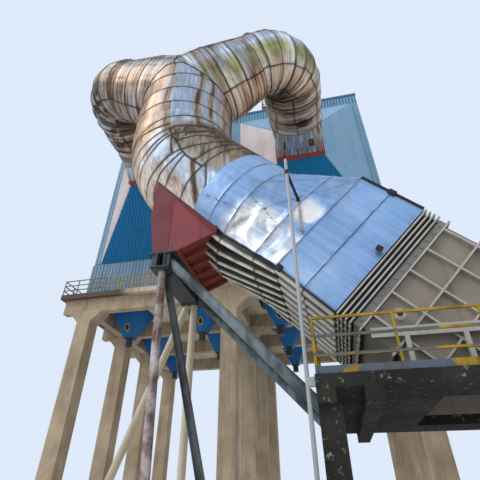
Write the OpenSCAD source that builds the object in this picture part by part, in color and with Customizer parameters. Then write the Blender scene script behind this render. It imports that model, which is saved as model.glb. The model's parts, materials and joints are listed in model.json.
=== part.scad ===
// Precipitator with its two inlet horns and the gas duct that feeds them.
// Millimetres. X runs along the precipitator's front, Y from front to rear, Z up.
// The modules are written with x = 0 on the precipitator's centre plane and y = 0 on
// its front wall. at_origin() moves them so that the origin is the middle of the footprint.

/* [Casing] */
// Width of the precipitator casing
casing_w = 20600; // [16000:100:24000]
// Length of the casing from front wall to rear wall
casing_l = 13000; // [10000:100:16000]
// Height of the casing's floor above the ground
casing_base = 15100; // [14500:100:16500]
// Height of the roof's upper side above the ground
casing_top = 29000; // [28500:100:31000]
// Thickness of the insulated walls
wall_t = 150; // [80:10:300]
// Thickness of the roof
roof_t = 200; // [100:10:400]
// Overhang of the roof beyond the walls
roof_lip = 60; // [20:10:200]
// Thickness of the casing floor that carries the hoppers
floor_t = 120; // [60:10:200]
// Thickness of the clad skirt below the casing
skirt_t = 160; // [80:10:300]
// How far the skirt stands out from the casing
skirt_out = 50; // [0:10:120]

/* [Horns] */
// Distance of each horn's mouth from the wall that it stands on
horn_l = 3250; // [2500:50:4000]
// Side of the square mouth
mouth_w = 2950; // [2600:50:3300]
// Distance of each mouth's centre from the centre plane
mouth_x = 5200; // [4900:50:5500]
// Height of the mouth's centre above the ground
mouth_z = 20800; // [20000:50:21500]
// Gap between the two horns at the wall
horn_gap = 900; // [400:50:1400]
// Margin between a horn's base and the casing's side
horn_margin = 500; // [200:50:900]
// Distance of the horn's base top below the roof
horn_drop = 1200; // [800:50:1800]
// Length of the flanged collar on a mouth
collar_l = 300; // [150:10:400]
// How far the collar stands out from the mouth
collar_out = 90; // [40:10:150]

/* [Hoppers] */
// Number of hoppers across the casing
hopper_cols = 4; // [3:1:5]
// Number of hoppers along the casing
hopper_rows = 3; // [2:1:3]
// Gap between neighbouring hoppers at their tops
hopper_gap = 100; // [40:10:200]
// Side of the square hopper outlet
hopper_outlet = 600; // [400:50:900]
// Height of the hopper outlets above the ground
hopper_bottom = 10300; // [9800:50:10800]
// Length of the round dust valve under a hopper
valve_l = 550; // [300:50:800]
// Clearance around a hopper in the deck slab
hopper_clear = 60; // [20:10:150]

/* [Deck] */
// Height of the deck's upper side above the ground
deck_top = 12300; // [12200:50:12800]
// Thickness of the deck slab
deck_t = 300; // [200:10:400]
// Walkway between the casing's sides and the deck's edges
deck_walk = 1000; // [800:50:2100]
// Distance of the deck's edge from the front and rear walls
deck_out = 1200; // [1000:50:1800]
// Depth of the beams below the slab
beam_h = 900; // [700:50:1100]
// Width of the beams
beam_w = 500; // [400:50:700]
// Side of the square columns
column_w = 900; // [800:50:1000]
// Clearance between the outer hoppers and the beam beside them
beam_clear = 220; // [50:10:600]
// Distance of the outer column lines from the front and rear walls
column_out = 600; // [400:50:750]
// Projection of the haunches under the beams
haunch = 700; // [400:50:900]

/* [Gas duct] */
// Distance of the riser's axis from the front wall
riser_y = 9960; // [9600:20:10400]
// Outer radius of the riser
riser_r = 2200; // [2000:20:2300]
// Height where the two branches' axes meet the riser's axis
fork_z = 17900; // [17600:50:18200]
// Length of straight riser inside the fork piece
fork_stub = 1000; // [600:50:1400]
// Radius of the fork's legs at their middle seam
fork_mid_r = 2050; // [1800:10:2150]
// Place of the middle seam along a leg, as a share of its length
fork_belly = 0.45; // [0.3:0.05:0.6]
// Outer radius of the branches
branch_r = 1650; // [1500:10:1700]
// Radius of the branch bends at the axis
branch_bend_r = 2250; // [2000:50:2500]
// Number of mitre seams in a branch bend
branch_seams = 6; // [4:1:8]
// Thickness of the clad duct wall
duct_t = 120; // [60:10:160]
// Length of the change from round to square before a collar
square_l = 1800; // [1200:50:2200]
// Height where the riser's axis meets the inclined axis
bend_z = 13150; // [12900:50:13400]
// Angle of the inclined duct below the horizontal
slope = 46; // [42:1:50]
// Radius of the lower bend at the axis
bend_r = 3200; // [2900:50:3400]
// Number of mitre seams in the lower bend
bend_seams = 4; // [3:1:6]
// Number of cladding courses between the round duct and the hood
transition_courses = 3; // [3:1:6]
// Distance along the inclined axis where the round duct ends
round_end = 5200; // [3200:50:5600]

/* [Hood and lower duct] */
// Distance along the inclined axis where the hood starts
hood_start = 7560; // [7300:20:7900]
// Length of the hood
hood_l = 1970; // [1600:10:2200]
// Height of the hood across the inclined axis
hood_h = 3840; // [3600:20:4000]
// Offset of the hood's centre above the inclined axis
hood_lift = 390; // [250:10:450]
// Number of ribs in the expansion joint
joint_ribs = 4; // [3:1:7]
// Spacing of the ribs in the expansion joint
joint_pitch = 120; // [100:5:220]
// Length of the broad flange after the ribs
flange_l = 240; // [160:10:320]
// Thickness of a rib
rib_t = 50; // [20:5:80]
// How far the ribs stand out from the duct
rib_out = 130; // [60:10:160]
// Thickness of the stiffened plate duct below the joint
plate_t = 80; // [40:5:120]
// Spacing of the plate duct's cross ribs
cross_pitch = 850; // [700:50:1800]
// Spacing of the plate duct's lengthwise ribs
long_pitch = 760; // [600:20:900]

/* [Saddle and trestle] */
// Width of the saddle
saddle_w = 3180; // [2400:20:3400]
// Spacing of the trestle's two frames
frame_w = 2800; // [2400:50:3200]
// Distance of the saddle's nose from the riser's axis
saddle_nose_x = 2260; // [2000:10:2400]
// Rise of the nose's lower edge above the girder
saddle_nose_rise = 560; // [400:10:700]
// Height of the nose
saddle_nose_h = 300; // [200:10:450]
// Height of the saddle's upper left corner above the ground
saddle_top = 11500; // [11000:50:11800]
// Distance of the saddle's left edge to the left of the riser's axis
saddle_left = 130; // [60:10:200]
// Height above the girder where the left edge turns inwards
saddle_kink = 1500; // [1200:50:1800]
// Distance along the inclined axis that the saddle reaches inside the duct
saddle_reach = 3600; // [3200:50:4000]
// Number of open bays between the saddle's gussets
saddle_bays = 5; // [3:1:7]
// Thickness of a gusset and of the rim round a bay
gusset_t = 80; // [40:5:120]
// Depth of a bay
bay_depth = 150; // [80:10:200]
// Height of the girder's upper side, on which the saddle sits
girder_top = 7900; // [7800:50:8200]
// Height of the girder
girder_h = 540; // [360:10:600]
// Distance of the girder's middle from the riser's axis
girder_x = 470; // [260:10:560]
// Width of the girder's upper plate
girder_w = 940; // [700:10:1000]
// Thickness of the girder's plates
girder_t = 40; // [20:5:60]
// Width of the girder's lower plate
girder_low_w = 630; // [500:10:700]
// Distance of the girder's webs from its middle
web_x = 135; // [120:5:220]
// Distance of the steeper front leg's foot from the girder's middle
front_foot_x = 380; // [200:20:900]
// Distance of the splayed front leg's foot from the girder's middle
front_splay_x = 2020; // [1800:20:2600]
// Distance of the splayed front leg behind the steeper one
leg_gap = 360; // [300:10:420]
// Distance of the splayed rear leg's foot from the girder's middle
rear_splay_x = 2900; // [2400:50:3200]
// Side of the foot plates
foot_w = 450; // [350:10:550]
// Thickness of the foot plates
foot_t = 40; // [20:5:60]
// Radius of the tubular legs
leg_r = 125; // [90:5:160]
// Radius of the raking struts
strut_r = 145; // [100:5:180]

/* [Duct platform] */
// Height of the platform's upper side above the ground
plat_top = 3550; // [3450:50:3800]
// Thickness of the platform slab
plat_t = 250; // [200:10:400]
// Distance of the platform's left edge from the centre plane
plat_x = 4900; // [4600:50:5000]
// Half of the platform's depth, about the duct's middle
plat_half = 3340; // [3200:20:3600]
// Walkway between the duct's foot and the platform's right edge
plat_walk = 700; // [500:50:1000]
// Side of the platform's columns
plat_column = 450; // [350:10:550]
// Distance of the middle beam from the platform's left edge
plat_beam_x = 890; // [800:10:1600]
// Width of the platform's beams
plat_beam_w = 360; // [300:10:450]
// Depth of the platform's beams
plat_beam = 260; // [200:10:700]
// Height of the cross beams beside the duct above the platform
rest_h = 1170; // [800:10:1300]
// Depth of those beams
rest_d = 220; // [160:10:260]
// Thickness of those beams and of their posts
rest_t = 100; // [60:10:140]
// Distance of the outer posts from the ends of their beam
rest_in = 700; // [0:50:900]
// Number of their posts
rest_posts = 4; // [3:1:6]

/* [Railings and small parts] */
// Height of the deck's railing
rail_h = 1000; // [900:10:1200]
// Height of the duct platform's railing
plat_rail_h = 1150; // [1000:10:1250]
// Number of rails one above another
rail_rows = 3; // [2:1:3]
// Thickness of the railing bars
rail_t = 50; // [30:5:60]
// Largest spacing of the posts of the deck's railing
post_pitch = 1000; // [800:50:2400]
// Largest spacing of the posts of the duct platform's railing
plat_post_pitch = 1900; // [1200:50:2400]
// Height of the toe boards
toe_h = 150; // [100:10:200]
// Thickness of the toe boards
toe_t = 10; // [5:1:20]
// Radius of the standpipe
pipe_r = 45; // [35:5:70]
// Distance of the standpipe from the platform's left edge
pipe_out = 150; // [100:10:200]
// Height of the standpipe's top above the ground
pipe_top = 9500; // [9300:50:9800]
// Height of the stay's upper end below the standpipe's top
stay_drop = 500; // [300:50:700]
// Sideways reach of the stay
stay_run = 200; // [100:50:300]
// Fall of the stay from the standpipe to the duct
stay_fall = 180; // [100:20:300]
// Radius of the stay
stay_r = 35; // [20:5:45]
// Distance of the roof box from the centre plane
roof_box_x = 2400; // [2000:50:2800]
// Side of the box on the roof
roof_box_w = 1600; // [1200:50:2000]
// Height of the box on the roof
roof_box_h = 550; // [400:50:1600]
// Clearance where two pieces sit against each other
seat = 0.3; // [0.1:0.1:0.5]

/* [Hidden] */
$fn = 96;
duct_sides = 48;
far = 40000;
cos_s = cos(slope);
sin_s = sin(slope);
duct_y = -riser_y;
hood_d = 2 * riser_r;
hood_end = hood_start + hood_l;
joint_end = hood_end + joint_ribs * joint_pitch + flange_l;
hood_top_v = hood_lift + hood_h / 2;
hood_low_v = hood_lift - hood_h / 2;
deck_half = casing_w / 2 + deck_walk;
plate_d = hood_d - 2 * rib_out;
plate_h = hood_h - 2 * rib_out;
// Place in x of a point of the inclined frame, and where it comes down to a height
function slope_x(s, v) = s * cos_s + v * sin_s;
function slope_z(s, v) = bend_z - s * sin_s + v * cos_s;
function s_at_z(z, v) = (bend_z + v * cos_s - z) / sin_s;
foot_x0 = slope_x(s_at_z(plat_top, hood_low_v), hood_low_v);
foot_x1 = slope_x(s_at_z(plat_top, hood_top_v), hood_top_v);
plat_x1 = foot_x1 + plat_walk;
plat_front = duct_y - plat_half;
plat_rear = duct_y + plat_half;
horn_base_w = casing_w / 2 - horn_margin - horn_gap / 2;
horn_base_x = horn_gap / 2 + horn_base_w / 2;
horn_base_z0 = casing_base;
horn_base_z1 = casing_top - horn_drop;
collar_y = -horn_l - collar_l;
rear_y = casing_l + horn_l + collar_l;
origin_x = (plat_x1 - deck_half) / 2;
origin_y = (plat_front + rear_y) / 2;
branch_rise = mouth_z - fork_z;
branch_a = atan2(branch_rise, mouth_x);
branch_run = sqrt(mouth_x * mouth_x + branch_rise * branch_rise);
cone_l = branch_run - branch_bend_r;
bend_a = 90 - slope;
bend_tangent = bend_r * tan(bend_a / 2);
riser_low = bend_z + bend_tangent;
riser_high = fork_z - fork_stub;
hopper_w = casing_w / hopper_cols;
hopper_d = casing_l / hopper_rows;
hopper_top = casing_base - floor_t;
beam_top = deck_top - deck_t;
// Columns stand in the gaps between hoppers, the outer ones clear of the outer hoppers
column_x = hopper_x(hopper_cols - 1) + hopper_at(beam_top, hopper_w - hopper_gap) / 2
    + beam_clear + beam_w / 2;
column_mid = hopper_cols % 2 == 0 ? [0] : [-hopper_w / 2, hopper_w / 2];
column_xs = [-column_x, each column_mid, column_x];
column_ys = [-column_out, for (j = [1:hopper_rows - 1]) j * hopper_d, casing_l + column_out];
beam_low = beam_top - beam_h;
plat_low = plat_top - plat_t;
plat_beam_low = plat_low - plat_beam;
plat_beam_xs = [plat_x, plat_x + plat_beam_x, plat_x1 - plat_beam_w];
girder_low = girder_top - girder_h;
frame_ys = [duct_y - frame_w / 2, duct_y + frame_w / 2];
plate_l = s_at_z(plat_low, hood_top_v) - joint_end;

// Moves a piece from the plant's axes to the part's own origin
module at_origin() {
    translate([-origin_x, -origin_y, 0]) children();
}

// Block given by its lowest and highest corners
module block(low, high) {
    translate(low) cube(high - low);
}

// Round bar of a given radius between two points
module bar(a, b, r) {
    d = b - a;
    len = norm(d);
    translate(a)
        rotate([0, acos(d[2] / len), atan2(d[1], d[0])])
            cylinder(h = len, r = r);
}

// Round shell along +Z
module pipe(h, r, wall) {
    difference() {
        cylinder(h = h, r = r);
        if (wall > 0) translate([0, 0, -1]) cylinder(h = h + 2, r = r - wall);
    }
}

// Flat shape drawn in X and Z, with a thickness along +Y
module flat_xz(t) {
    translate([0, t, 0]) rotate([90, 0, 0]) linear_extrude(height = t) children();
}

// Frame of the inclined duct: its +X runs down the duct, its +Z is across it, upwards
module on_slope(s = 0, v = 0) {
    translate([0, duct_y, bend_z])
        rotate([0, slope, 0])
            translate([s, 0, v]) children();
}

// Rings of a gored bend about the Y axis. It starts at [bend, 0, 0] along +Z, and its
// gores meet in planes through the bend's centre. The last gore has a straight tail
function bend_rings(bend, r, turn, seams, tail) =
    let (step = turn / seams)
    [for (k = [0:seams + 1])
        let (
            a = k == 0 ? 0 : k > seams ? turn : (k - 0.5) * step,
            stretch = k == 0 || k > seams ? 1 : 1 / cos(step / 2),
            run = k > seams ? tail : 0
        )
        [for (j = [0:duct_sides - 1])
            let (t = j * 360 / duct_sides, rho = (bend + r * cos(t)) * stretch)
            [rho * cos(a) - run * sin(a), r * sin(t), rho * sin(a) + run * cos(a)]]];

// Two triangles of a four-sided face
function halves(a, b, c, d) = [[a, b, c], [a, c, d]];

// Side faces between neighbouring rings of n points, the first point numbered base
function ring_sides(base, n, last) =
    [for (k = [0:last - 1], j = [0:n - 1])
        let (m = (j + 1) % n, low = base + k * n, high = low + n)
        each halves(low + j, high + j, high + m, low + m)];

// The same faces turned round
function turned(faces) = [for (f = faces) [f[2], f[1], f[0]]];

// Solid through a list of rings
module ring_solid(rings) {
    n = len(rings[0]);
    last = len(rings) - 1;
    end = last * n;
    polyhedron(
        points = [for (ring = rings) each ring],
        faces = concat(
            [for (j = [1:n - 2]) [0, j, j + 1]],
            ring_sides(0, n, last),
            [for (j = [1:n - 2]) [end, end + j + 1, end + j]]));
}

// Shell between two lists of rings
module ring_shell(outer, inner) {
    n = len(outer[0]);
    last = len(outer) - 1;
    in = (last + 1) * n;
    end = last * n;
    polyhedron(
        points = concat([for (ring = outer) each ring], [for (ring = inner) each ring]),
        faces = concat(
            ring_sides(0, n, last),
            turned(ring_sides(in, n, last)),
            [for (j = [0:n - 1]) let (m = (j + 1) % n) each halves(j, m, in + m, in + j)],
            [for (j = [0:n - 1])
                let (m = (j + 1) % n)
                each halves(end + m, end + j, in + end + j, in + end + m)]));
}

// Bend made of gores, with the given wall
module gored_bend(bend, r, wall, turn, seams, tail) {
    ring_shell(bend_rings(bend, r, turn, seams, tail),
        bend_rings(bend, r - wall, turn, seams, tail));
}

// Four walls of a square or rectangular duct along +X
module box_duct(len, depth, height, wall) {
    difference() {
        translate([0, -depth / 2, -height / 2]) cube([len, depth, height]);
        translate([-1, -depth / 2 + wall, -height / 2 + wall])
            cube([len + 2, depth - 2 * wall, height - 2 * wall]);
    }
}

// Row of posts with rails, from a to b, and a toe board of the given height
module railing(a, b, height, pitch, toe) {
    d = b - a;
    len = norm(d);
    bays = ceil(len / pitch);
    translate(a) rotate([0, 0, atan2(d[1], d[0])]) {
        for (i = [0:bays])
            translate([i * len / bays - rail_t / 2, -rail_t / 2, 0])
                cube([rail_t, rail_t, height]);
        for (row = [1:rail_rows])
            translate([-rail_t / 2, -rail_t / 2, height * row / rail_rows - rail_t])
                cube([len + rail_t, rail_t, rail_t]);
        if (toe > 0) translate([-rail_t / 2, -toe_t / 2, 0]) cube([len + rail_t, toe_t, toe]);
    }
}

// Railings round a rectangle given by its lowest and highest corners
module railing_round(low, high, z, height, pitch, toe) {
    for (y = [low[1], high[1]])
        railing([low[0], y, z], [high[0], y, z], height, pitch, toe);
    for (x = [low[0], high[0]])
        railing([x, low[1], z], [x, high[1], z], height, pitch, toe);
}

// Precipitator casing

module casing_front_wall() {
    color("steelblue") at_origin()
        block([-casing_w / 2, 0, casing_base], [casing_w / 2, wall_t, casing_top - roof_t]);
}

module casing_rear_wall() {
    color("steelblue") at_origin()
        block([-casing_w / 2, casing_l - wall_t, casing_base],
            [casing_w / 2, casing_l, casing_top - roof_t]);
}

module side_wall(x) {
    block([x, wall_t, casing_base], [x + wall_t, casing_l - wall_t, casing_top - roof_t]);
}

module casing_left_wall() {
    color("steelblue") at_origin() side_wall(-casing_w / 2);
}

module casing_right_wall() {
    color("steelblue") at_origin() side_wall(casing_w / 2 - wall_t);
}

module casing_roof() {
    color("steelblue") at_origin()
        block([-casing_w / 2 - roof_lip, -roof_lip, casing_top - roof_t],
            [casing_w / 2 + roof_lip, casing_l + roof_lip, casing_top]);
}

module casing_floor() {
    color("slategray") at_origin()
        block([-casing_w / 2, 0, casing_base - floor_t], [casing_w / 2, casing_l, casing_base]);
}

module casing_skirt() {
    half = casing_w / 2 + skirt_out;
    top = casing_base - floor_t;
    color("lightsteelblue") at_origin()
        difference() {
            block([-half, -skirt_out, deck_top], [half, casing_l + skirt_out, top]);
            block([-half + skirt_t, -skirt_out + skirt_t, deck_top - 1],
                [half - skirt_t, casing_l + skirt_out - skirt_t, top + 1]);
        }
}

// Pyramid between a wall at y = 0 and a square mouth in front of it
module horn(side) {
    thin = 1;
    hull() {
        translate([side * horn_base_x - horn_base_w / 2, -thin, horn_base_z0])
            cube([horn_base_w, thin, horn_base_z1 - horn_base_z0]);
        translate([side * mouth_x - mouth_w / 2, -horn_l, mouth_z - mouth_w / 2])
            cube([mouth_w, thin, mouth_w]);
    }
}

// Same shape on the rear wall
module to_rear() {
    translate([0, casing_l, 0]) mirror([0, 1, 0]) children();
}

module inlet_horn_left() {
    color("dodgerblue") at_origin() horn(-1);
}

module inlet_horn_right() {
    color("dodgerblue") at_origin() horn(1);
}

module outlet_horn_left() {
    color("dodgerblue") at_origin() to_rear() horn(-1);
}

module outlet_horn_right() {
    color("dodgerblue") at_origin() to_rear() horn(1);
}

module collars() {
    outer = mouth_w + 2 * collar_out;
    for (side = [-1, 1])
        translate([side * mouth_x, -horn_l - collar_l, mouth_z])
            rotate([0, 0, 90]) box_duct(collar_l, outer, outer, collar_out + duct_t);
}

module inlet_collars() {
    color("firebrick") at_origin() collars();
}

module outlet_collars() {
    color("firebrick") at_origin() to_rear() collars();
}

// Hoppers below the casing

function hopper_x(i) = (i + 0.5) * hopper_w - casing_w / 2;
function hopper_y(j) = (j + 0.5) * hopper_d;

module each_hopper() {
    for (i = [0:hopper_cols - 1])
        for (j = [0:hopper_rows - 1])
            translate([hopper_x(i), hopper_y(j), 0]) children();
}

// Size across a hopper at a height, from its top size
function hopper_at(z, top) =
    hopper_outlet + (top - hopper_outlet) * (z - hopper_bottom) / (hopper_top - hopper_bottom);

module hoppers() {
    w = hopper_w - hopper_gap;
    d = hopper_d - hopper_gap;
    thin = 1;
    color("royalblue") at_origin() each_hopper()
        hull() {
            translate([-hopper_outlet / 2, -hopper_outlet / 2, hopper_bottom])
                cube([hopper_outlet, hopper_outlet, thin]);
            translate([-w / 2, -d / 2, hopper_top - thin]) cube([w, d, thin]);
        }
}

module dust_valves() {
    color("dimgray") at_origin() each_hopper() {
        translate([0, 0, hopper_bottom - valve_l])
            cylinder(h = valve_l, r = hopper_outlet * 0.35);
        translate([-hopper_outlet / 2, -hopper_outlet / 2, hopper_bottom - rib_t])
            cube([hopper_outlet, hopper_outlet, rib_t]);
    }
}

module roof_box() {
    color("sienna") at_origin()
        translate([roof_box_x, 0, casing_top]) {
            cube([roof_box_w, roof_box_w, roof_box_h]);
            railing_round([rail_t, rail_t], [roof_box_w - rail_t, roof_box_w - rail_t],
                roof_box_h, rail_h, post_pitch, 0);
        }
}

// Concrete deck

module deck_slab() {
    w = hopper_at(deck_top, hopper_w - hopper_gap) + 2 * hopper_clear;
    d = hopper_at(deck_top, hopper_d - hopper_gap) + 2 * hopper_clear;
    color("tan") at_origin()
        difference() {
            block([-deck_half, -deck_out, beam_top],
                [deck_half, casing_l + deck_out, deck_top]);
            each_hopper()
                translate([-w / 2, -d / 2, beam_top - 1]) cube([w, d, deck_t + 2]);
        }
}

module deck_beams() {
    end = deck_half - beam_w / 2;
    color("tan") at_origin()
        union() {
            for (y = column_ys)
                block([-end, y - beam_w / 2, beam_low], [end, y + beam_w / 2, beam_top]);
            for (x = column_xs)
                block([x - beam_w / 2, column_ys[0], beam_low],
                    [x + beam_w / 2, casing_l + column_out, beam_top]);
        }
}

// Column with a haunch on both sides, in the plane of the beams along X
module deck_column() {
    half = column_w / 2;
    flat_xz(column_w)
        polygon([[-half, 0], [half, 0], [half, beam_low - haunch],
            [half + haunch, beam_low], [-half - haunch, beam_low],
            [-half, beam_low - haunch]]);
}

module deck_columns() {
    color("wheat") at_origin()
        for (x = column_xs)
            for (y = column_ys)
                translate([x, y - column_w / 2, 0]) deck_column();
}

module deck_railing() {
    x = deck_half - rail_t;
    y = deck_out - rail_t;
    color("gold") at_origin()
        railing_round([-x, -y], [x, casing_l + y], deck_top, rail_h, post_pitch, 0);
}

// Gas duct

module riser() {
    color("silver") at_origin()
        translate([0, duct_y, riser_low]) pipe(riser_high - riser_low, riser_r, duct_t);
}

// Frame of a branch: +Z runs up the branch from the fork's centre
module on_branch(side) {
    translate([0, duct_y, fork_z]) rotate([0, side * (90 - branch_a), 0]) children();
}

// Round disc across a branch at a distance from the fork's centre
module branch_disc(side, along, r) {
    on_branch(side) translate([0, 0, along - 1]) cylinder(h = 1, r = r, $fn = 32);
}

// Solid of the fork, smaller all round by an inset and longer by as much at its ends
module fork_form(inset) {
    mid = cone_l * fork_belly;
    hull() {
        translate([0, duct_y, riser_high - (inset > 0 ? 1 : 0)])
            cylinder(h = fork_stub, r = riser_r - inset, $fn = 32);
    }
    for (side = [-1, 1]) {
        hull() {
            translate([0, duct_y, fork_z]) sphere(r = riser_r - inset, $fn = 32);
            branch_disc(side, mid, fork_mid_r - inset);
        }
        hull() {
            branch_disc(side, mid, fork_mid_r - inset);
            branch_disc(side, cone_l + (inset > 0 ? 1 : 0), branch_r - inset);
        }
    }
}

module fork() {
    color("tan") at_origin()
        difference() {
            fork_form(0);
            fork_form(duct_t);
            translate([0, duct_y, riser_high - far]) cylinder(h = far, r = riser_r + seat);
        }
}

// Bend from a branch's slope to the horizontal run, and that run
module branch(side) {
    run = collar_y - square_l - duct_y - branch_bend_r;
    on_branch(side)
        translate([0, 0, cone_l])
            rotate([0, 0, 90])
                translate([branch_bend_r, 0, 0])
                    rotate([0, 0, 180])
                        gored_bend(branch_bend_r, branch_r, duct_t, 90, branch_seams, run);
}

module branch_left() {
    color("silver") at_origin() branch(-1);
}

module branch_right() {
    color("tan") at_origin() branch(1);
}

// Round at its front and square at the collar, as wide as the mouth
module square_form(inset) {
    thin = 1;
    over = inset > 0 ? 2 : 0;
    side = mouth_w - 2 * inset;
    hull() {
        translate([0, collar_y - square_l - over, mouth_z])
            rotate([-90, 0, 0]) cylinder(h = thin, r = branch_r - inset, $fn = 48);
        translate([-side / 2, collar_y - thin + over, mouth_z - side / 2])
            cube([side, thin, side]);
    }
}

module square_piece(side) {
    translate([side * mouth_x, 0, 0])
        difference() {
            square_form(0);
            square_form(duct_t);
        }
}

module square_piece_left() {
    color("silver") at_origin() square_piece(-1);
}

module square_piece_right() {
    color("silver") at_origin() square_piece(1);
}

// Frame of the lower bend, which starts at the riser and turns down and to the right
module on_lower_bend() {
    translate([bend_r, duct_y, riser_low]) rotate([0, 180, 0]) children();
}

module lower_bend() {
    color("tan") at_origin()
        on_lower_bend()
            gored_bend(bend_r, riser_r, duct_t, bend_a, bend_seams, round_end - bend_tangent);
}

// Point of a rectangle's outline that a ray at t degrees, from -45 to 315, stands for
function outline_point(t, half_w, half_h) =
    t < 45 ? [half_w, half_h * t / 45]
    : t < 135 ? [half_w * (90 - t) / 45, half_h]
    : t < 225 ? [-half_w, half_h * (180 - t) / 45]
    : [half_w * (t - 270) / 45, -half_h];

// Rings from the round duct's end to the rectangular hood, in the inclined frame
function transition_rings(inset) =
    [for (k = [0:transition_courses])
        let (f = k / transition_courses)
        [for (j = [0:duct_sides - 1])
            let (
                t = j * 360 / duct_sides - 45,
                p = outline_point(t, hood_d / 2 - inset, hood_h / 2 - inset),
                r = riser_r - inset
            )
            [round_end + f * (hood_start - round_end),
                (1 - f) * r * cos(t) + f * p[0],
                (1 - f) * r * sin(t) + f * (p[1] + hood_lift)]]];

module hood_transition() {
    color("lightblue") at_origin()
        on_slope() ring_shell(transition_rings(0), transition_rings(duct_t));
}

module hood() {
    color("lightskyblue") at_origin()
        on_slope(hood_start, hood_lift) box_duct(hood_l, hood_d, hood_h, duct_t);
}

module expansion_joint() {
    color("gray") at_origin()
        on_slope(hood_end, hood_lift) {
            box_duct(joint_end - hood_end, plate_d, plate_h, plate_t);
            for (i = [0:joint_ribs - 1])
                translate([(i + 0.5) * joint_pitch - rib_t / 2, 0, 0])
                    box_duct(rib_t, hood_d, hood_h, rib_out + plate_t);
            translate([joint_end - hood_end - flange_l, 0, 0])
                box_duct(flange_l - rib_t, hood_d - rib_out, hood_h - rib_out, rib_out);
            translate([joint_end - hood_end - rib_t, 0, 0])
                box_duct(rib_t, hood_d, hood_h, rib_out + plate_t);
        }
}

// Cuts what reaches below the platform's upper side
module above_platform() {
    difference() {
        children();
        block([-far, -far, -far], [far, far, plat_top]);
    }
}

module plate_duct() {
    color("darkkhaki") at_origin()
        above_platform()
            on_slope(joint_end, hood_lift) box_duct(plate_l, plate_d, plate_h, plate_t);
}

module plate_duct_ribs() {
    color("darkkhaki") at_origin()
        above_platform()
            on_slope(joint_end, hood_lift)
                for (s = [cross_pitch:cross_pitch:plate_l - rib_t])
                    translate([s - rib_t, 0, 0])
                        box_duct(rib_t, hood_d - 2 * seat, hood_h - 2 * seat, rib_out - 2 * seat);
}

// Lengthwise ribs on the front and rear sides, from one cross rib to the next
module plate_duct_stringers() {
    color("darkkhaki") at_origin()
        above_platform()
            on_slope(joint_end, hood_lift - plate_h / 2)
                for (s = [0:cross_pitch:plate_l - cross_pitch])
                    for (up = [long_pitch / 2:long_pitch:plate_h - rib_t])
                        for (y = [-plate_d / 2 - rib_out + seat, plate_d / 2 + seat])
                            translate([s + seat, y, up - rib_t / 2])
                                cube([cross_pitch - rib_t - 2 * seat, rib_out - 2 * seat, rib_t]);
}

// Beams on posts beside the duct, against its cross ribs
module duct_rest() {
    top = plat_top + rest_h;
    x0 = slope_x(s_at_z(top - rest_d, hood_low_v), hood_low_v);
    x1 = slope_x(s_at_z(top, hood_top_v), hood_top_v);
    first = x0 + rest_in;
    pitch = (x1 - rest_in - rest_t - first) / (rest_posts - 1);
    color("wheat") at_origin()
        for (side = [-1, 1])
            translate([0, duct_y + side * (hood_d / 2 + rest_t / 2 + seat), 0]) {
                block([x0, -rest_t / 2, top - rest_d], [x1, rest_t / 2, top]);
                for (i = [0:rest_posts - 1])
                    translate([first + i * pitch, 0, 0])
                        block([0, -rest_t / 2, plat_top], [rest_t, rest_t / 2, top - rest_d]);
            }
}

// Saddle and trestle

// Outline of the saddle in X and Z, closed inside the duct that it carries
module saddle_outline() {
    left = girder_x - girder_low_w / 2;
    right = girder_x + girder_w / 2;
    polygon([[left, girder_top], [right, girder_top],
        [saddle_nose_x, girder_top + saddle_nose_rise],
        [saddle_nose_x, girder_top + saddle_nose_rise + saddle_nose_h],
        [slope_x(saddle_reach, 0), slope_z(saddle_reach, 0)],
        [0, bend_z], [-saddle_left, saddle_top],
        [-saddle_left, girder_top + saddle_kink]]);
}

// Open bay under the saddle, between two gussets
module saddle_bay() {
    x0 = girder_x + girder_w / 2 + gusset_t;
    x1 = saddle_nose_x - gusset_t;
    rise = saddle_nose_rise / (saddle_nose_x - girder_x - girder_w / 2);
    z0 = girder_top + gusset_t * rise;
    z1 = girder_top + saddle_nose_rise - gusset_t * rise;
    flat_xz((saddle_w - gusset_t) / saddle_bays - gusset_t)
        polygon([[x0, z0 - gusset_t], [x1, z1 - gusset_t], [x1, z1 + bay_depth],
            [x0, z0 + bay_depth]]);
}

module saddle() {
    color("indianred") at_origin()
        difference() {
            translate([0, duct_y - saddle_w / 2, 0]) flat_xz(saddle_w) saddle_outline();
            on_lower_bend()
                ring_solid(bend_rings(bend_r, riser_r + seat, bend_a, bend_seams,
                    round_end - bend_tangent));
            on_slope() ring_solid(transition_rings(-seat));
            for (i = [0:saddle_bays - 1])
                translate([0, duct_y - saddle_w / 2 + gusset_t
                    + i * (saddle_w - gusset_t) / saddle_bays, 0]) saddle_bay();
        }
}

module trestle_girder() {
    y0 = frame_ys[0] - girder_h / 2;
    y1 = frame_ys[1] + girder_h / 2;
    color("black") at_origin()
        translate([girder_x, 0, 0]) {
            block([-girder_w / 2, y0, girder_top - girder_t], [girder_w / 2, y1, girder_top]);
            block([-girder_low_w / 2, y0, girder_low],
                [girder_low_w / 2, y1, girder_low + girder_t]);
            for (side = [-1, 1])
                translate([side * web_x, 0, 0])
                    block([-girder_t / 2, y0, girder_low], [girder_t / 2, y1, girder_top]);
        }
}

// Keeps what lies between two heights
module between_heights(low, high) {
    intersection() {
        children();
        block([-far, -far, low], [far, far, high]);
    }
}

// Leg from a foot plate on the ground up to the girder's underside
module leg(y, top_x, foot_x) {
    slant = (top_x - foot_x) / girder_low;
    between_heights(foot_t, girder_low)
        bar([foot_x - slant * leg_r, y, -leg_r],
            [top_x + slant * leg_r, y, girder_low + leg_r], leg_r);
    block([foot_x - foot_w / 2, y - foot_w / 2, 0], [foot_x + foot_w / 2, y + foot_w / 2, foot_t]);
}

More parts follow.
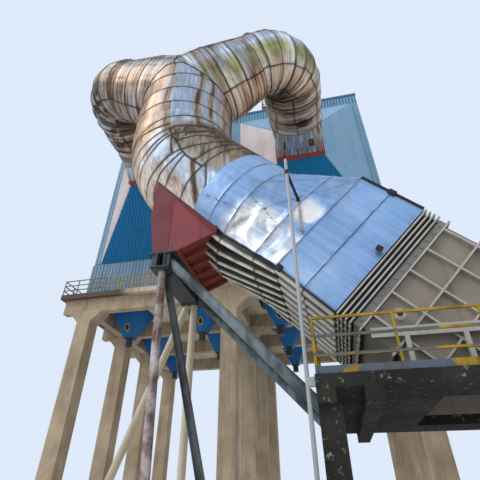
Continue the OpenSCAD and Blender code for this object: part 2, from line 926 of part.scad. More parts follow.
module trestle_front_legs() {
    color("rosybrown") at_origin() {
        leg(frame_ys[0], girder_x, girder_x + front_foot_x);
        leg(frame_ys[0] + leg_gap, girder_x, girder_x + front_splay_x);
    }
}

module trestle_rear_legs() {
    color("wheat") at_origin() {
        leg(frame_ys[1], girder_x + web_x, girder_x + web_x);
        leg(frame_ys[1], girder_x - web_x, girder_x - rear_splay_x);
    }
}

// Struts from the girder's side down to the platform's edge
module raking_struts() {
    x0 = girder_x + girder_low_w / 2;
    z1 = plat_low;
    z0 = girder_low + strut_r * norm([1, (girder_low - z1) / (plat_x - x0)]);
    fall = (z0 - z1) / (plat_x - x0);
    color("slategray") at_origin()
        intersection() {
            for (y = frame_ys)
                bar([x0 - strut_r, y, z0 + fall * strut_r],
                    [plat_x + strut_r, y, z1 - fall * strut_r], strut_r);
            block([x0, -far, 0], [plat_x, far, far]);
        }
}

// Pole beside the platform, held by its slab, with a stay to the duct's front side
module standpipe() {
    x = plat_x - pipe_out;
    y = plat_front + 2 * pipe_r;
    foot = 2 * pipe_r;
    wall_y = duct_y - hood_d / 2;
    color("gray") at_origin() {
        translate([x, y, 0]) cylinder(h = pipe_top, r = pipe_r);
        block([x - foot, y - foot, 0], [x + foot, y + foot, foot_t]);
        block([x, y - pipe_r, plat_low + foot_t], [plat_x - seat, y + pipe_r, plat_top - foot_t]);
        intersection() {
            bar([x, y, pipe_top - stay_drop],
                [x + 2 * stay_run, 2 * wall_y - y, pipe_top - stay_drop - 2 * stay_fall], stay_r);
            block([-far, -far, 0], [far, wall_y, far]);
        }
    }
}

// Platform under the lower duct

module platform_slab() {
    inner = hood_d / 2 - rib_out - plate_t;
    wall = (rib_out + plate_t) / sin_s;
    color("dimgray") at_origin()
        difference() {
            block([plat_x, plat_front, plat_low], [plat_x1, plat_rear, plat_top]);
            block([foot_x0 + wall, duct_y - inner, plat_low - 1],
                [foot_x1 - wall, duct_y + inner, plat_top + 1]);
        }
}

module platform_beams() {
    color("dimgray") at_origin()
        for (x = plat_beam_xs)
            block([x, plat_front, plat_beam_low], [x + plat_beam_w, plat_rear, plat_low]);
}

module platform_columns() {
    color("dimgray") at_origin()
        for (x = [plat_x, plat_x1 - plat_column])
            for (side = [-1, 1])
                translate([x, duct_y + side * (plat_half - plat_column) - plat_column / 2, 0])
                    cube([plat_column, plat_column, plat_beam_low]);
}

module platform_railing() {
    color("gold") at_origin()
        railing_round([plat_x + rail_t, plat_front + rail_t], [plat_x1 - rail_t, plat_rear - rail_t],
            plat_top, plat_rail_h, plat_post_pitch, toe_h);
}

casing_front_wall();
casing_rear_wall();
casing_left_wall();
casing_right_wall();
casing_roof();
casing_floor();
casing_skirt();
inlet_horn_left();
inlet_horn_right();
outlet_horn_left();
outlet_horn_right();
inlet_collars();
outlet_collars();
hoppers();
dust_valves();
roof_box();
deck_slab();
deck_beams();
deck_columns();
deck_railing();
riser();
fork();
branch_left();
branch_right();
square_piece_left();
square_piece_right();
lower_bend();
hood_transition();
hood();
expansion_joint();
plate_duct();
plate_duct_ribs();
plate_duct_stringers();
duct_rest();
saddle();
trestle_girder();
trestle_front_legs();
trestle_rear_legs();
raking_struts();
standpipe();
platform_slab();
platform_beams();
platform_columns();
platform_railing();
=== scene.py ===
import json
import math
import random
from itertools import accumulate

import bpy
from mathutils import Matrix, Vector, noise


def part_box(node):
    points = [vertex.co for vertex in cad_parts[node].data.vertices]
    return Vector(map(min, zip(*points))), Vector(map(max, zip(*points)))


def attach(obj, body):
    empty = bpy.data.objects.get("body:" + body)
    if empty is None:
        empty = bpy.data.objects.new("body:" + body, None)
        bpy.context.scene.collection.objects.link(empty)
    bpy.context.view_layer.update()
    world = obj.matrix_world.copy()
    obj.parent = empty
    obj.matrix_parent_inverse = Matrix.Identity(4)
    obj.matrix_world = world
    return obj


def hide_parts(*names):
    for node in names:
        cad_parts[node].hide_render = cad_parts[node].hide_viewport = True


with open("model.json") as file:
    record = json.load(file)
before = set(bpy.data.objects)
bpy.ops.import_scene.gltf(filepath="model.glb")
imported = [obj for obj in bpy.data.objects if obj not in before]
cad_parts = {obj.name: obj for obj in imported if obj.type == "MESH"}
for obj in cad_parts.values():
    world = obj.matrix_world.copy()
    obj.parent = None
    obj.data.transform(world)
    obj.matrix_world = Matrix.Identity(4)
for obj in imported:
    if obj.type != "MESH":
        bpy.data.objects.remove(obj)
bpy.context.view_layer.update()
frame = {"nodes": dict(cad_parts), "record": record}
scene = bpy.context.scene

# Plant axes in metres: x = 0 on the precipitator's centre plane, y = 0 on its front wall.
DECK_HALF, DECK_OUT = 11.3, 1.2
slab_low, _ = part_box("deck_slab")
SHIFT = Vector((slab_low.x + DECK_HALF, slab_low.y + DECK_OUT, 0.0))
DUCT_Y = -9.96
RISER_R, RISER_LOW, RISER_HIGH = 2.2, 14.4429, 16.9
FORK_Z, BRANCH_R, BRANCH_BEND = 17.9, 1.65, 2.25
BEND_Z, BEND_R = 13.15, 3.2
SLOPE = math.radians(46)
COS_S, SIN_S = math.cos(SLOPE), math.sin(SLOPE)
BRIGHT_START, ROUND_END, HOOD_START, HOOD_END = 3.6, 5.2, 7.56, 9.53
HOOD_LIFT, HOOD_HALF = 0.39, 1.92
JOINT_END = 10.25
COLLAR_Y, SQUARE_L = -3.55, 1.8
MOUTH_X, MOUTH_Z, MOUTH_W = 5.2, 20.8, 2.95
LEG_RISE = 2.9
BRANCH_A = math.atan2(LEG_RISE, MOUTH_X)
CONE_L = math.hypot(LEG_RISE, MOUTH_X) - BRANCH_BEND
PLAT_TOP, PLAT_RAIL = 3.55, 1.13
GIRDER_X, GIRDER_TOP, GIRDER_LOW = 0.47, 7.9, 7.36
FRAME_YS = (DUCT_Y - 1.4, DUCT_Y + 1.4)
CASING_HALF, CASING_L, BASE, ROOF_LOW = 10.3, 13.0, 15.1, 28.8
HORN_IN, HORN_OUT, HORN_TOP, HORN_L = 0.45, 9.8, 27.8, 3.25


def slope_point(s, w, v):
    """Point of the inclined duct's frame in plant axes."""
    return Vector((s * COS_S + v * SIN_S, DUCT_Y + w, BEND_Z - s * SIN_S + v * COS_S))


def turns(n):
    """Angles that divide a full turn into n."""
    return [2 * math.pi * j / n for j in range(n)]


def add_object(name, data):
    item = bpy.data.objects.new(name, data)
    scene.collection.objects.link(item)
    return item


# ---------------------------------------------------------------- camera and light

camera_data = bpy.data.cameras.new("camera")
camera_data.sensor_width = 36
camera_data.lens = 28.5
camera_data.shift_y = -26 / 480
camera_data.clip_end = 500
camera = add_object("camera", camera_data)
camera.location = Vector((5.2, -21.2, 1.6)) + SHIFT
camera.rotation_euler = (math.radians(90 + 36.9), 0, math.radians(12.7))
scene.camera = camera
scene.view_settings.view_transform = "Standard"


def sun(name, azimuth, elevation, strength, spread, tint):
    """Soft distant lamp that shines from a compass direction, clockwise from +Y."""
    data = bpy.data.lights.new(name, "SUN")
    data.energy = strength
    data.angle = math.radians(spread)
    data.color = tint
    a, e = math.radians(azimuth), math.radians(elevation)
    towards = Vector((math.sin(a) * math.cos(e), math.cos(a) * math.cos(e), math.sin(e)))
    add_object(name, data).rotation_euler = towards.to_track_quat("Z", "Y").to_euler()


sun("key", 236, 38, 1.35, 34, (1.0, 0.975, 0.94))
sun("fill", 140, 25, 0.35, 70, (0.92, 0.96, 1.0))


# ---------------------------------------------------------------- materials

def rgb(code):
    """Linear colour of an sRGB hex code."""
    out = []
    for i in (0, 2, 4):
        c = int(code[i:i + 2], 16) / 255
        out.append(c / 12.92 if c <= 0.04045 else ((c + 0.055) / 1.055) ** 2.4)
    return (*out, 1.0)


class Nodes:
    """Node tree. An input's value is a number, a colour or another node's output."""

    def __init__(self, tree):
        self.tree = tree
        tree.nodes.clear()

    def set(self, node, inputs):
        for key, value in inputs.items():
            if hasattr(value, "is_output"):
                self.tree.links.new(value, node.inputs[key])
            elif value is not None:
                node.inputs[key].default_value = value

    def add(self, kind, inputs={}, **settings):
        node = self.tree.nodes.new("ShaderNode" + kind)
        for key, value in settings.items():
            setattr(node, key, value)
        self.set(node, inputs)
        return node

    def math(self, how, a, b=None, clamp=False):
        return self.add("Math", {0: a, 1: b}, operation=how, use_clamp=clamp).outputs[0]

    def times(self, a, b):
        return self.math("MULTIPLY", a, b)

    def plus(self, a, b, clamp=False):
        return self.math("ADD", a, b, clamp)

    def swing(self, value, size):
        """What a value from 0 to 1 adds, as much below its middle as above."""
        return self.times(self.math("SUBTRACT", value, 0.5), size)


class Shader(Nodes):
    """Node material with a principled surface."""

    def __init__(self, name, rough=0.5, metal=0.0):
        self.mat = bpy.data.materials.new(name)
        self.mat.use_nodes = True
        super().__init__(self.mat.node_tree)
        surface = {"Roughness": rough, "Metallic": metal, "Specular IOR Level": 0.3}
        self.bsdf = self.add("BsdfPrincipled", surface)
        self.add("OutputMaterial", {0: self.bsdf.outputs[0]})
        self.object = self.add("TexCoord").outputs["Object"]

    def attribute(self, name, output="Fac"):
        return self.add("Attribute", attribute_name=name).outputs[output]

    def noise(self, vector, scale=1.0, detail=3.0, rough=0.55, warp=0.0):
        """Noise of one scale, or of a scale for each axis."""
        if isinstance(scale, tuple):
            vector, scale = self.add("Mapping", {"Vector": vector, "Scale": scale}).outputs[0], 1.0
        return self.add("TexNoise", {"Vector": vector, "Scale": scale, "Detail": detail, "Roughness": rough,
                                     "Distortion": warp}).outputs["Fac"]

    def span(self, value, low, high, to_low=0.0, to_high=1.0):
        """Smoothly maps value from low..high to to_low..to_high."""
        limits = {"Value": value, "From Min": low, "From Max": high, "To Min": to_low, "To Max": to_high}
        return self.add("MapRange", limits, interpolation_type="SMOOTHSTEP").outputs["Result"]

    def ramp(self, value, stops):
        node = self.add("ValToRGB", {0: value})
        line = node.color_ramp.elements
        while len(line) < len(stops):
            line.new(0.5)
        for element, (place, colour) in zip(line, stops):
            element.position = place
            element.color = rgb(colour)
        return node.outputs[0]

    def mix(self, amount, a, b, how="MIX"):
        a, b = (rgb(c) if isinstance(c, str) else c for c in (a, b))
        return self.add("Mix", {0: amount, 6: a, 7: b}, data_type="RGBA", blend_type=how).outputs[2]

    def split(self, vector):
        return self.add("SeparateXYZ", {0: vector}).outputs

    def place(self):
        """X, Y and Z of a node mesh's point in plant axes."""
        return self.split(self.add("Mapping", {"Vector": self.object, "Location": -SHIFT}).outputs[0])

    def bump(self, height, strength, distance):
        node = self.add("Bump", {"Strength": strength, "Distance": distance, "Height": height})
        self.set(self.bsdf, {"Normal": node.outputs[0]})

    def finish(self, colour, rough=None, metal=None):
        self.set(self.bsdf, {"Base Color": colour, "Roughness": rough, "Metallic": metal})
        return self.mat


def paint(name, base, worn, dirt, streak, rusty, rust="6b3a22", rough=0.5, metal=0.0, size=1.0, region=None):
    """Weathered paint on steel sheet: patches, run-down streaks, rust specks. region(shader) gives amounts,
    each with a second base colour for where it is 1."""
    s = Shader(name, rough, metal)
    patches = s.span(s.noise(s.object, 0.45 * size, 4), 0.35, 0.7)
    colour = s.mix(patches, base, worn)
    for amount, second in region(s) if region else ():
        colour = s.mix(amount, colour, second)
    sheet = s.noise(s.object, (1.1 * size, 1.1 * size, 0.05 * size), 2)
    colour = s.mix(s.span(sheet, 0.45, 0.62, 0, 0.0 if region else 0.35), colour, worn)
    runs = s.noise(s.object, (3.2, 3.2, 0.16), 6, 0.62)
    colour = s.mix(s.span(runs, 0.48, 0.74, 0, streak), colour, dirt)
    specks = s.noise(s.object, 5.5, 8, 0.68)
    spots = s.times(s.span(specks, 0.60, 0.70), s.span(s.noise(s.object, 0.9 * size, 3), 0.42, 0.62))
    colour = s.mix(s.times(spots, rusty), colour, rust)
    grain = s.noise(s.object, 42, 3)
    colour = s.mix(s.span(grain, 0.3, 0.7, 0, 0.10), colour, dirt)
    s.bump(s.plus(s.times(specks, 0.5), s.times(grain, 0.15)), 0.25, 0.01)
    return s.finish(colour, s.span(patches, 0, 1, rough - 0.08, min(1, rough + 0.18)))


def saddle_parts(s):
    """A darker strip along the saddle's left edge, a dark band along its upper edge, and orange-brown plates
    that don't face the front or back."""
    strip = s.plus(s.place()[0], s.times(s.noise(s.object, 1.2, 3), 0.16))
    normal = s.split(s.add("NewGeometry").outputs["Normal"])
    flat = s.span(s.math("ABSOLUTE", normal[1]), 0.5, 0.9, 1.0, 0.0)
    x, _, z = s.place()
    band = s.plus(s.times(x, 0.7536), s.times(z, 0.6573))
    return ((s.span(strip, 0.66, 0.72, 0.75, 0.0), "6b2832"), (s.span(band, 7.13, 7.18, 0.0, 0.8), "5e2129"),
            (s.times(flat, s.span(s.noise(s.object, 1.4, 4), 0.3, 0.6, 0.5, 1.0)), "8f4325"))


def rail_bands(s):
    """Grey middle rails and toe boards with patches of the yellow; the top rail and the posts stay yellow."""
    z = s.place()[2]
    amount = 0.0
    bands = (0.075, 0.08, 0.005), (PLAT_RAIL / 3, 0.03, 0.01), (PLAT_RAIL * 2 / 3, 0.03, 0.01)
    for level, half, blur in bands:
        away = s.math("ABSOLUTE", s.math("SUBTRACT", z, PLAT_TOP + level))
        amount = s.math("MAXIMUM", amount, s.span(away, half, half + blur, 1.0, 0.0))
    return (s.times(amount, s.span(s.noise(s.object, 0.8, 3), 0.56, 0.60, 1.0, 0.0)), "5b6672"),


def rail_end(s):
    """The railing's left end, which has lost its yellow."""
    return (s.span(s.plus(s.place()[0], s.noise(s.object, 1.5, 3)), -8.2, -7.6, 1.0, 0.0), "6d7884"),


def deck_edge(s):
    """Cream middle and dark, wet-stained left end of the deck's edge."""
    x = s.plus(s.place()[0], s.times(s.noise(s.object, 0.9, 4), 2.0))
    return (s.span(x, -6.0, -5.4, 0.0, 0.85), "e4d8c2"), (s.span(x, -6.6, -5.5, 0.85, 0.0), "4c3a37")


def concrete(name, base, pale, stain, top_dark, region=None, fleck=None):
    """Weathered concrete. region(shader) gives amounts and colours, fleck is the colour of small spots."""
    s = Shader(name, 0.85)
    colour = s.mix(s.span(s.noise(s.object, 0.6, 5), 0.35, 0.68), base, pale)
    for amount, second in region(s) if region else ():
        colour = s.mix(amount, colour, second)
    runs = s.noise(s.object, (1.6, 1.6, 0.22), 6, 0.65)
    colour = s.mix(s.span(runs, 0.46, 0.72, 0, top_dark), colour, stain)
    pores = s.noise(s.object, 18, 8, 0.7)
    colour = s.mix(s.span(pores, 0.5, 0.75, 0, 0.35), colour, stain)
    if fleck:
        colour = s.mix(s.span(s.noise(s.object, 7, 8, 0.75), 0.57, 0.66, 0, 0.8), colour, fleck)
    s.bump(pores, 0.5, 0.02)
    return s.finish(colour)


def clad(name, cool, warm, edge_colour, metal=0.35, rough=0.42, wide=0.34, fine=0.34, grime=0.35,
         gloom="2a2019", ripple=0.35, seam=0.034, broken=0.0, stain="b4b45c"):
    """Sheet cladding. The attribute look gives tone, warmth and soot, olive the greenish stain, flow the
    direction of the streaks, edge the distance to the next seam and panel a number for each sheet. Tone and
    warmth, with the streaks laid on the tone, carry painted reflections and highlights as well as stains."""
    s = Shader(name, rough, metal)
    edge, panel = s.attribute("edge"), s.attribute("panel")
    tone, heat, soot = s.split(s.attribute("look", "Vector"))
    shift = s.add("CombineXYZ", {2: s.times(panel, 9.0)}).outputs[0]
    flow = s.add("VectorMath", {0: s.attribute("flow", "Vector"), 1: shift}).outputs[0]
    broad = s.noise(flow, (0.30, 1.35, 1.35), 2, 0.5, 0.3)
    thin = s.noise(flow, (0.42, 7.5, 7.5), 3, 0.6, 0.2)
    tone = s.plus(s.plus(tone, s.swing(broad, wide * 2)), s.swing(thin, fine * 2))
    tone = s.plus(tone, s.swing(panel, 0.16), clamp=True)
    heat = s.plus(heat, s.swing(s.noise(flow, 0.9, 3), 0.9), clamp=True)
    colour = s.mix(heat, s.ramp(tone, cool), s.ramp(tone, warm))
    patina = s.span(s.noise(flow, (0.5, 1.2, 1.2), 3, 0.5), 0.30, 0.60, 0.25, 1.0)
    colour = s.mix(s.times(s.attribute("olive"), patina), colour, s.mix(1.0, colour, stain, "MULTIPLY"))
    colour = s.mix(s.span(s.noise(flow, (0.8, 1.6, 1.6), 5, 0.65), 0.55, 0.78, 0, grime), colour, gloom)
    black = s.math("SUBTRACT", s.plus(s.noise(flow, (0.7, 2.6, 2.6), 5, 0.65), soot), 0.80)
    black = s.times(s.span(black, 0.0, 0.12, 0, 0.88), s.span(soot, 0.0, 0.03))
    colour = s.mix(black, colour, "1c1815")
    colour = s.mix(s.span(s.noise(flow, (1.2, 15.0, 15.0), 4, 0.65), 0.58, 0.74, 0, 0.5), colour, gloom)
    halo = s.times(s.span(edge, 0.0, 0.14, 0.5, 0.0), s.span(s.noise(flow, 1.7, 4), 0.38, 0.68))
    colour = s.mix(halo, colour, gloom)
    line = s.span(edge, 0.008, seam, 0.9, 0.0)
    if broken:
        line = s.times(line, s.span(s.noise(flow, 2.2, 2), 0.40, 0.58, 1 - broken, 1.0))
    colour = s.mix(line, colour, edge_colour)
    shine = s.plus(s.span(thin, 0.3, 0.7, rough - 0.08, rough + 0.12), s.times(black, 0.3))
    shine = s.plus(shine, s.times(line, 0.3), clamp=True)
    s.bump(s.plus(broad, s.times(thin, 0.35)), ripple, 0.035)
    dull = s.times(s.math("MAXIMUM", line, black), metal * 0.9)
    return s.finish(colour, shine, s.math("SUBTRACT", metal, dull))


# Colours of the cladding from dark to light. Their blues are a painted reflection of the sky and their lightest
# stops painted highlights; the browns and greys are stains.
COOL = [(0.0, "2e2924"), (0.16, "544b43"), (0.30, "857668"), (0.44, "a89d92"), (0.58, "9aa2ad"),
        (0.74, "a3b7d2"), (0.90, "d3dce9"), (1.0, "f4f6fa")]
WARM = [(0.0, "241c17"), (0.18, "54453a"), (0.34, "8a694c"), (0.48, "b48d6a"), (0.60, "d0ac8a"),
        (0.74, "dcc6b0"), (1.0, "f2e6d6")]
BRIGHT = [(0.0, "45566a"), (0.22, "7090b4"), (0.45, "8aaedc"), (0.65, "a3c2ea"), (0.85, "cddbf0"),
          (1.0, "f4f6f9")]
CREAM = [(0.0, "5a5650"), (0.25, "908b84"), (0.5, "c2beb6"), (0.75, "e0dcd2"), (1.0, "f8f5ee")]
UNDER = [(0.0, "24231f"), (0.25, "55534b"), (0.5, "9c988e"), (0.75, "e0ddd0"), (1.0, "fffdf4")]

# Name, base, worn and dirt colours, strength of the streaks and of the rust, and what else differs
PAINTS = (
    ("casing_blue", "6f9fc0", "8fb2c9", "4f7690", 0.45, 0.10),
    ("band_blue", "3f6f96", "557f9f", "2d4d68", 0.4, 0.15),
    # The next three rows are one pale blue paint with the light painted in: the deep blue is its painted shade
    # on the horns' downward faces, the pale pink its painted sunlight, and the grey-blue its painted shade on
    # faces turned from the sun.
    ("horn_blue", "0074ae", "0a80b6", "005488", 0.4, 0.08, {"rough": 0.45}),
    ("horn_sunlit_pale", "e6dcdd", "d6c6c6", "a99fa6", 0.30, 0.12),
    ("horn_shaded_grey", "84b0d2", "9abdd6", "6089ab", 0.40, 0.08),
    ("skirt_pale", "6f9cc0", "9aa2a2", "5a6f82", 0.6, 0.25, {"size": 1.6}),
    ("collar_red", "a5443c", "b2564a", "6d2b25", 0.4, 0.3),
    ("hopper_blue", "0f6cb4", "2079bb", "0d4a80", 0.4, 0.2),
    ("plate_grey", "8a8173", "a0968a", "554d43", 0.5, 0.4, {"metal": 0.1}),
    ("rib_grey", "b0aca4", "c2beb6", "77726a", 0.35, 0.3, {"metal": 0.1}),
    ("flange_grey", "7b7a76", "96938c", "4b4a48", 0.5, 0.4, {"metal": 0.2}),
    ("red_oxide", "7e3640", "96484e", "4c2024", 0.7, 0.45,
     {"rust": "a8512a", "size": 1.8, "region": saddle_parts}),
    ("dark_steel", "3a4147", "4b5359", "23282c", 0.4, 0.5),
    ("leg_rust", "6f4a4a", "d2cbc8", "553634", 0.6, 0.9, {"rust": "6b3826", "size": 5.0}),
    ("leg_dark", "43494b", "70767a", "26292b", 0.5, 0.5, {"size": 4.0}),
    ("rim_pale", "b7b4a9", "d2cfc5", "6b675f", 0.5, 0.5, {"size": 4.0}),
    ("port_ochre", "a08a52", "b7a46e", "5c4a2c", 0.4, 0.6),
    ("leg_beige", "cdbfa6", "d9ceb9", "8d7a5d", 0.4, 0.4),
    # The strut's pale worn colour is wear and also a painted highlight streaking along it.
    ("strut_grey", "3f4a50", "8f9ca3", "23292d", 0.8, 0.5, {"metal": 0.15, "size": 2.5}),
    ("deck_rail", "b99a2c", "a08a3a", "5a4a1e", 0.5, 0.7, {"size": 3.0, "region": rail_end}),
    ("platform_rail", "b8921c", "8f7a2a", "3f3416", 0.7, 0.9, {"size": 4.0, "region": rail_bands}),
    ("roof_brown", "7c3f38", "8c5148", "4c2924", 0.35, 0.3),
    ("pole_grey", "9aa2a4", "b3b8b8", "6c7070", 0.3, 0.4, {"metal": 0.3}),
    ("tar_black", "1e1f22", "2a2b2e", "111214", 0.3, 0.1),
)
MAT = {row[0]: paint(*row[:6], **dict(*row[6:])) for row in PAINTS}
for kind, name, *look, more in (
    (concrete, "deck_concrete", "ad9a80", "c6b49a", "5d5044", 0.42, {}),
    (concrete, "deck_top", "ad9a80", "c6b49a", "5d5044", 0.42, {"region": deck_edge}),
    (concrete, "dark_concrete", "20201d", "34332e", "0d0d0b", 0.7, {"fleck": "9a9988"}),
    (clad, "duct_stained", COOL, WARM, "1f1813", {"wide": 0.42, "fine": 0.52}),
    (clad, "duct_dark", COOL, WARM, "16110e", {"wide": 0.7, "fine": 0.85, "grime": 0.5, "seam": 0.045}),
    (clad, "duct_bright", BRIGHT, CREAM, "3c454e", {
        "metal": 0.4, "rough": 0.40, "wide": 0.20, "fine": 0.26, "grime": 0.25, "gloom": "5a7490",
        "ripple": 0.25, "seam": 0.03, "broken": 0.6, "stain": "c0743a"}),
    (clad, "duct_under", UNDER, CREAM, "3a362f", {
        "metal": 0.3, "rough": 0.48, "wide": 0.16, "fine": 0.12, "grime": 0.25, "gloom": "4c463b",
        "ripple": 0.2}),
):
    MAT[name] = kind(name, *look, **more)


# ---------------------------------------------------------------- meshes

def add_piece(name, points, faces, finish, replaces=(), sharp=None, fields=(), face_finish=None):
    """Piece from points in plant axes. sharp is the angle in degrees from which smooth faces meet in an edge,
    fields lists attributes, and face_finish gives each face's place in finish."""
    mesh = bpy.data.meshes.new(name)
    mesh.from_pydata([tuple(p + SHIFT) for p in points], [], faces)
    for key in finish:
        mesh.materials.append(MAT[key])
    for key, kind, domain, values in fields:
        data = mesh.attributes.new(key, kind, domain).data
        data.foreach_set("vector" if kind == "FLOAT_VECTOR" else "value", values)
    if face_finish:
        mesh.polygons.foreach_set("material_index", face_finish)
    mesh.update()
    if sharp:
        mesh.shade_smooth()
        mesh.set_sharp_from_angle(angle=math.radians(sharp))
    piece = add_object(name, mesh)
    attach(piece, "root")
    if replaces:
        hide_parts(*replaces)


def rect(x0, x1, y0, y1):
    return [(x0, y0), (x1, y0), (x1, y1), (x0, y1)]


class Part:
    """Collects the closed solids of one piece in plant axes."""

    def __init__(self):
        self.v, self.f = [], []

    def stack(self, *rings, closed=False):
        """Solid through rings of as many points each, with flat ends or closed to a loop."""
        base, n, count = len(self.v), len(rings[0]), len(rings)
        self.v += [Vector(p) for ring in rings for p in ring]
        if not closed:
            self.f += [[base + i for i in range(n)][::-1], [base + (count - 1) * n + i for i in range(n)]]
        for k in range(count if closed else count - 1):
            a, b = base + k * n, base + (k + 1) % count * n
            self.f += [[a + i, a + (i + 1) % n, b + (i + 1) % n, b + i] for i in range(n)]

    def box(self, low, high, bevel=0.0):
        """Block with bevelled upper and lower edges."""
        (x0, y0, z0), (x1, y1, z1) = low, high
        levels = [(z0, bevel), (z0 + bevel, 0.0), (z1 - bevel, 0.0), (z1, bevel)]
        levels = levels if bevel else [levels[0], levels[-1]]
        self.stack(*([(x, y, z) for x, y in rect(x0 + b, x1 - b, y0 + b, y1 - b)] for z, b in levels))

    def beam(self, a, b, wide, deep, up=(0, 0, 1)):
        """Rectangular bar from a to b. deep is measured along up, wide across it."""
        a, b, up = Vector(a), Vector(b), Vector(up)
        along = (b - a).normalized()
        side = along.cross(up).normalized() * (wide / 2)
        top = side.cross(along).normalized() * (deep / 2)
        self.stack(*([p + side - top, p - side - top, p - side + top, p + side + top] for p in (a, b)))

    def tube(self, points, r, sides=12, closed=False):
        """Round bar along a list of points, with flat ends or closed to a loop."""
        points = [Vector(p) for p in points]
        last = len(points) - 1
        side = (points[1] - points[0]).orthogonal()
        rings = []
        for i, p in enumerate(points):
            before, after = (i - 1, (i + 1) % (last + 1)) if closed else (max(i - 1, 0), min(i + 1, last))
            along = (points[after] - points[before]).normalized()
            side = (side - along * side.dot(along)).normalized()
            other = along.cross(side)
            rings.append([p + (side * math.cos(q) + other * math.sin(q)) * r for q in turns(sides)])
        self.stack(*rings, closed=closed)

    def bolt(self, at, out, r=0.03, h=0.022):
        """Six-sided bolt head that sits 2 mm into a surface."""
        out = Vector(out).normalized()
        side = out.orthogonal().normalized()
        other = out.cross(side)
        ring = [Vector(at) + side * math.cos(q) * r + other * math.sin(q) * r - out * 0.002 for q in turns(6)]
        self.stack(ring, [p + out * h for p in ring])

    def bolts_at_corners(self, x, y, dx, dy, z, out, r, h):
        for i in (-1, 1):
            for j in (-1, 1):
                self.bolt((x + dx * i, y + dy * j, z), (0, 0, out), r, h)

    def make(self, name, finish, slot, replaces=(), smooth=False):
        add_piece(name, self.v, self.f, (finish,), replaces, 40 if smooth else None)


def wave(seed, x, scale):
    """Smooth random value about 0 along x."""
    return noise.noise(Vector((x * scale, seed * 7.31, seed * 1.7)))


def on_rings(ring, count, u, t, off):
    """Point u rings along a skin at column t, pushed out by off."""
    k = min(int(u), count - 2)
    return ring(k, t, off).lerp(ring(k + 1, t, off), u - k)


WALL = 0.1
LAP_TOP, LAP_FOOT = 0.014, 0.034
NO_SEAM = 9.0


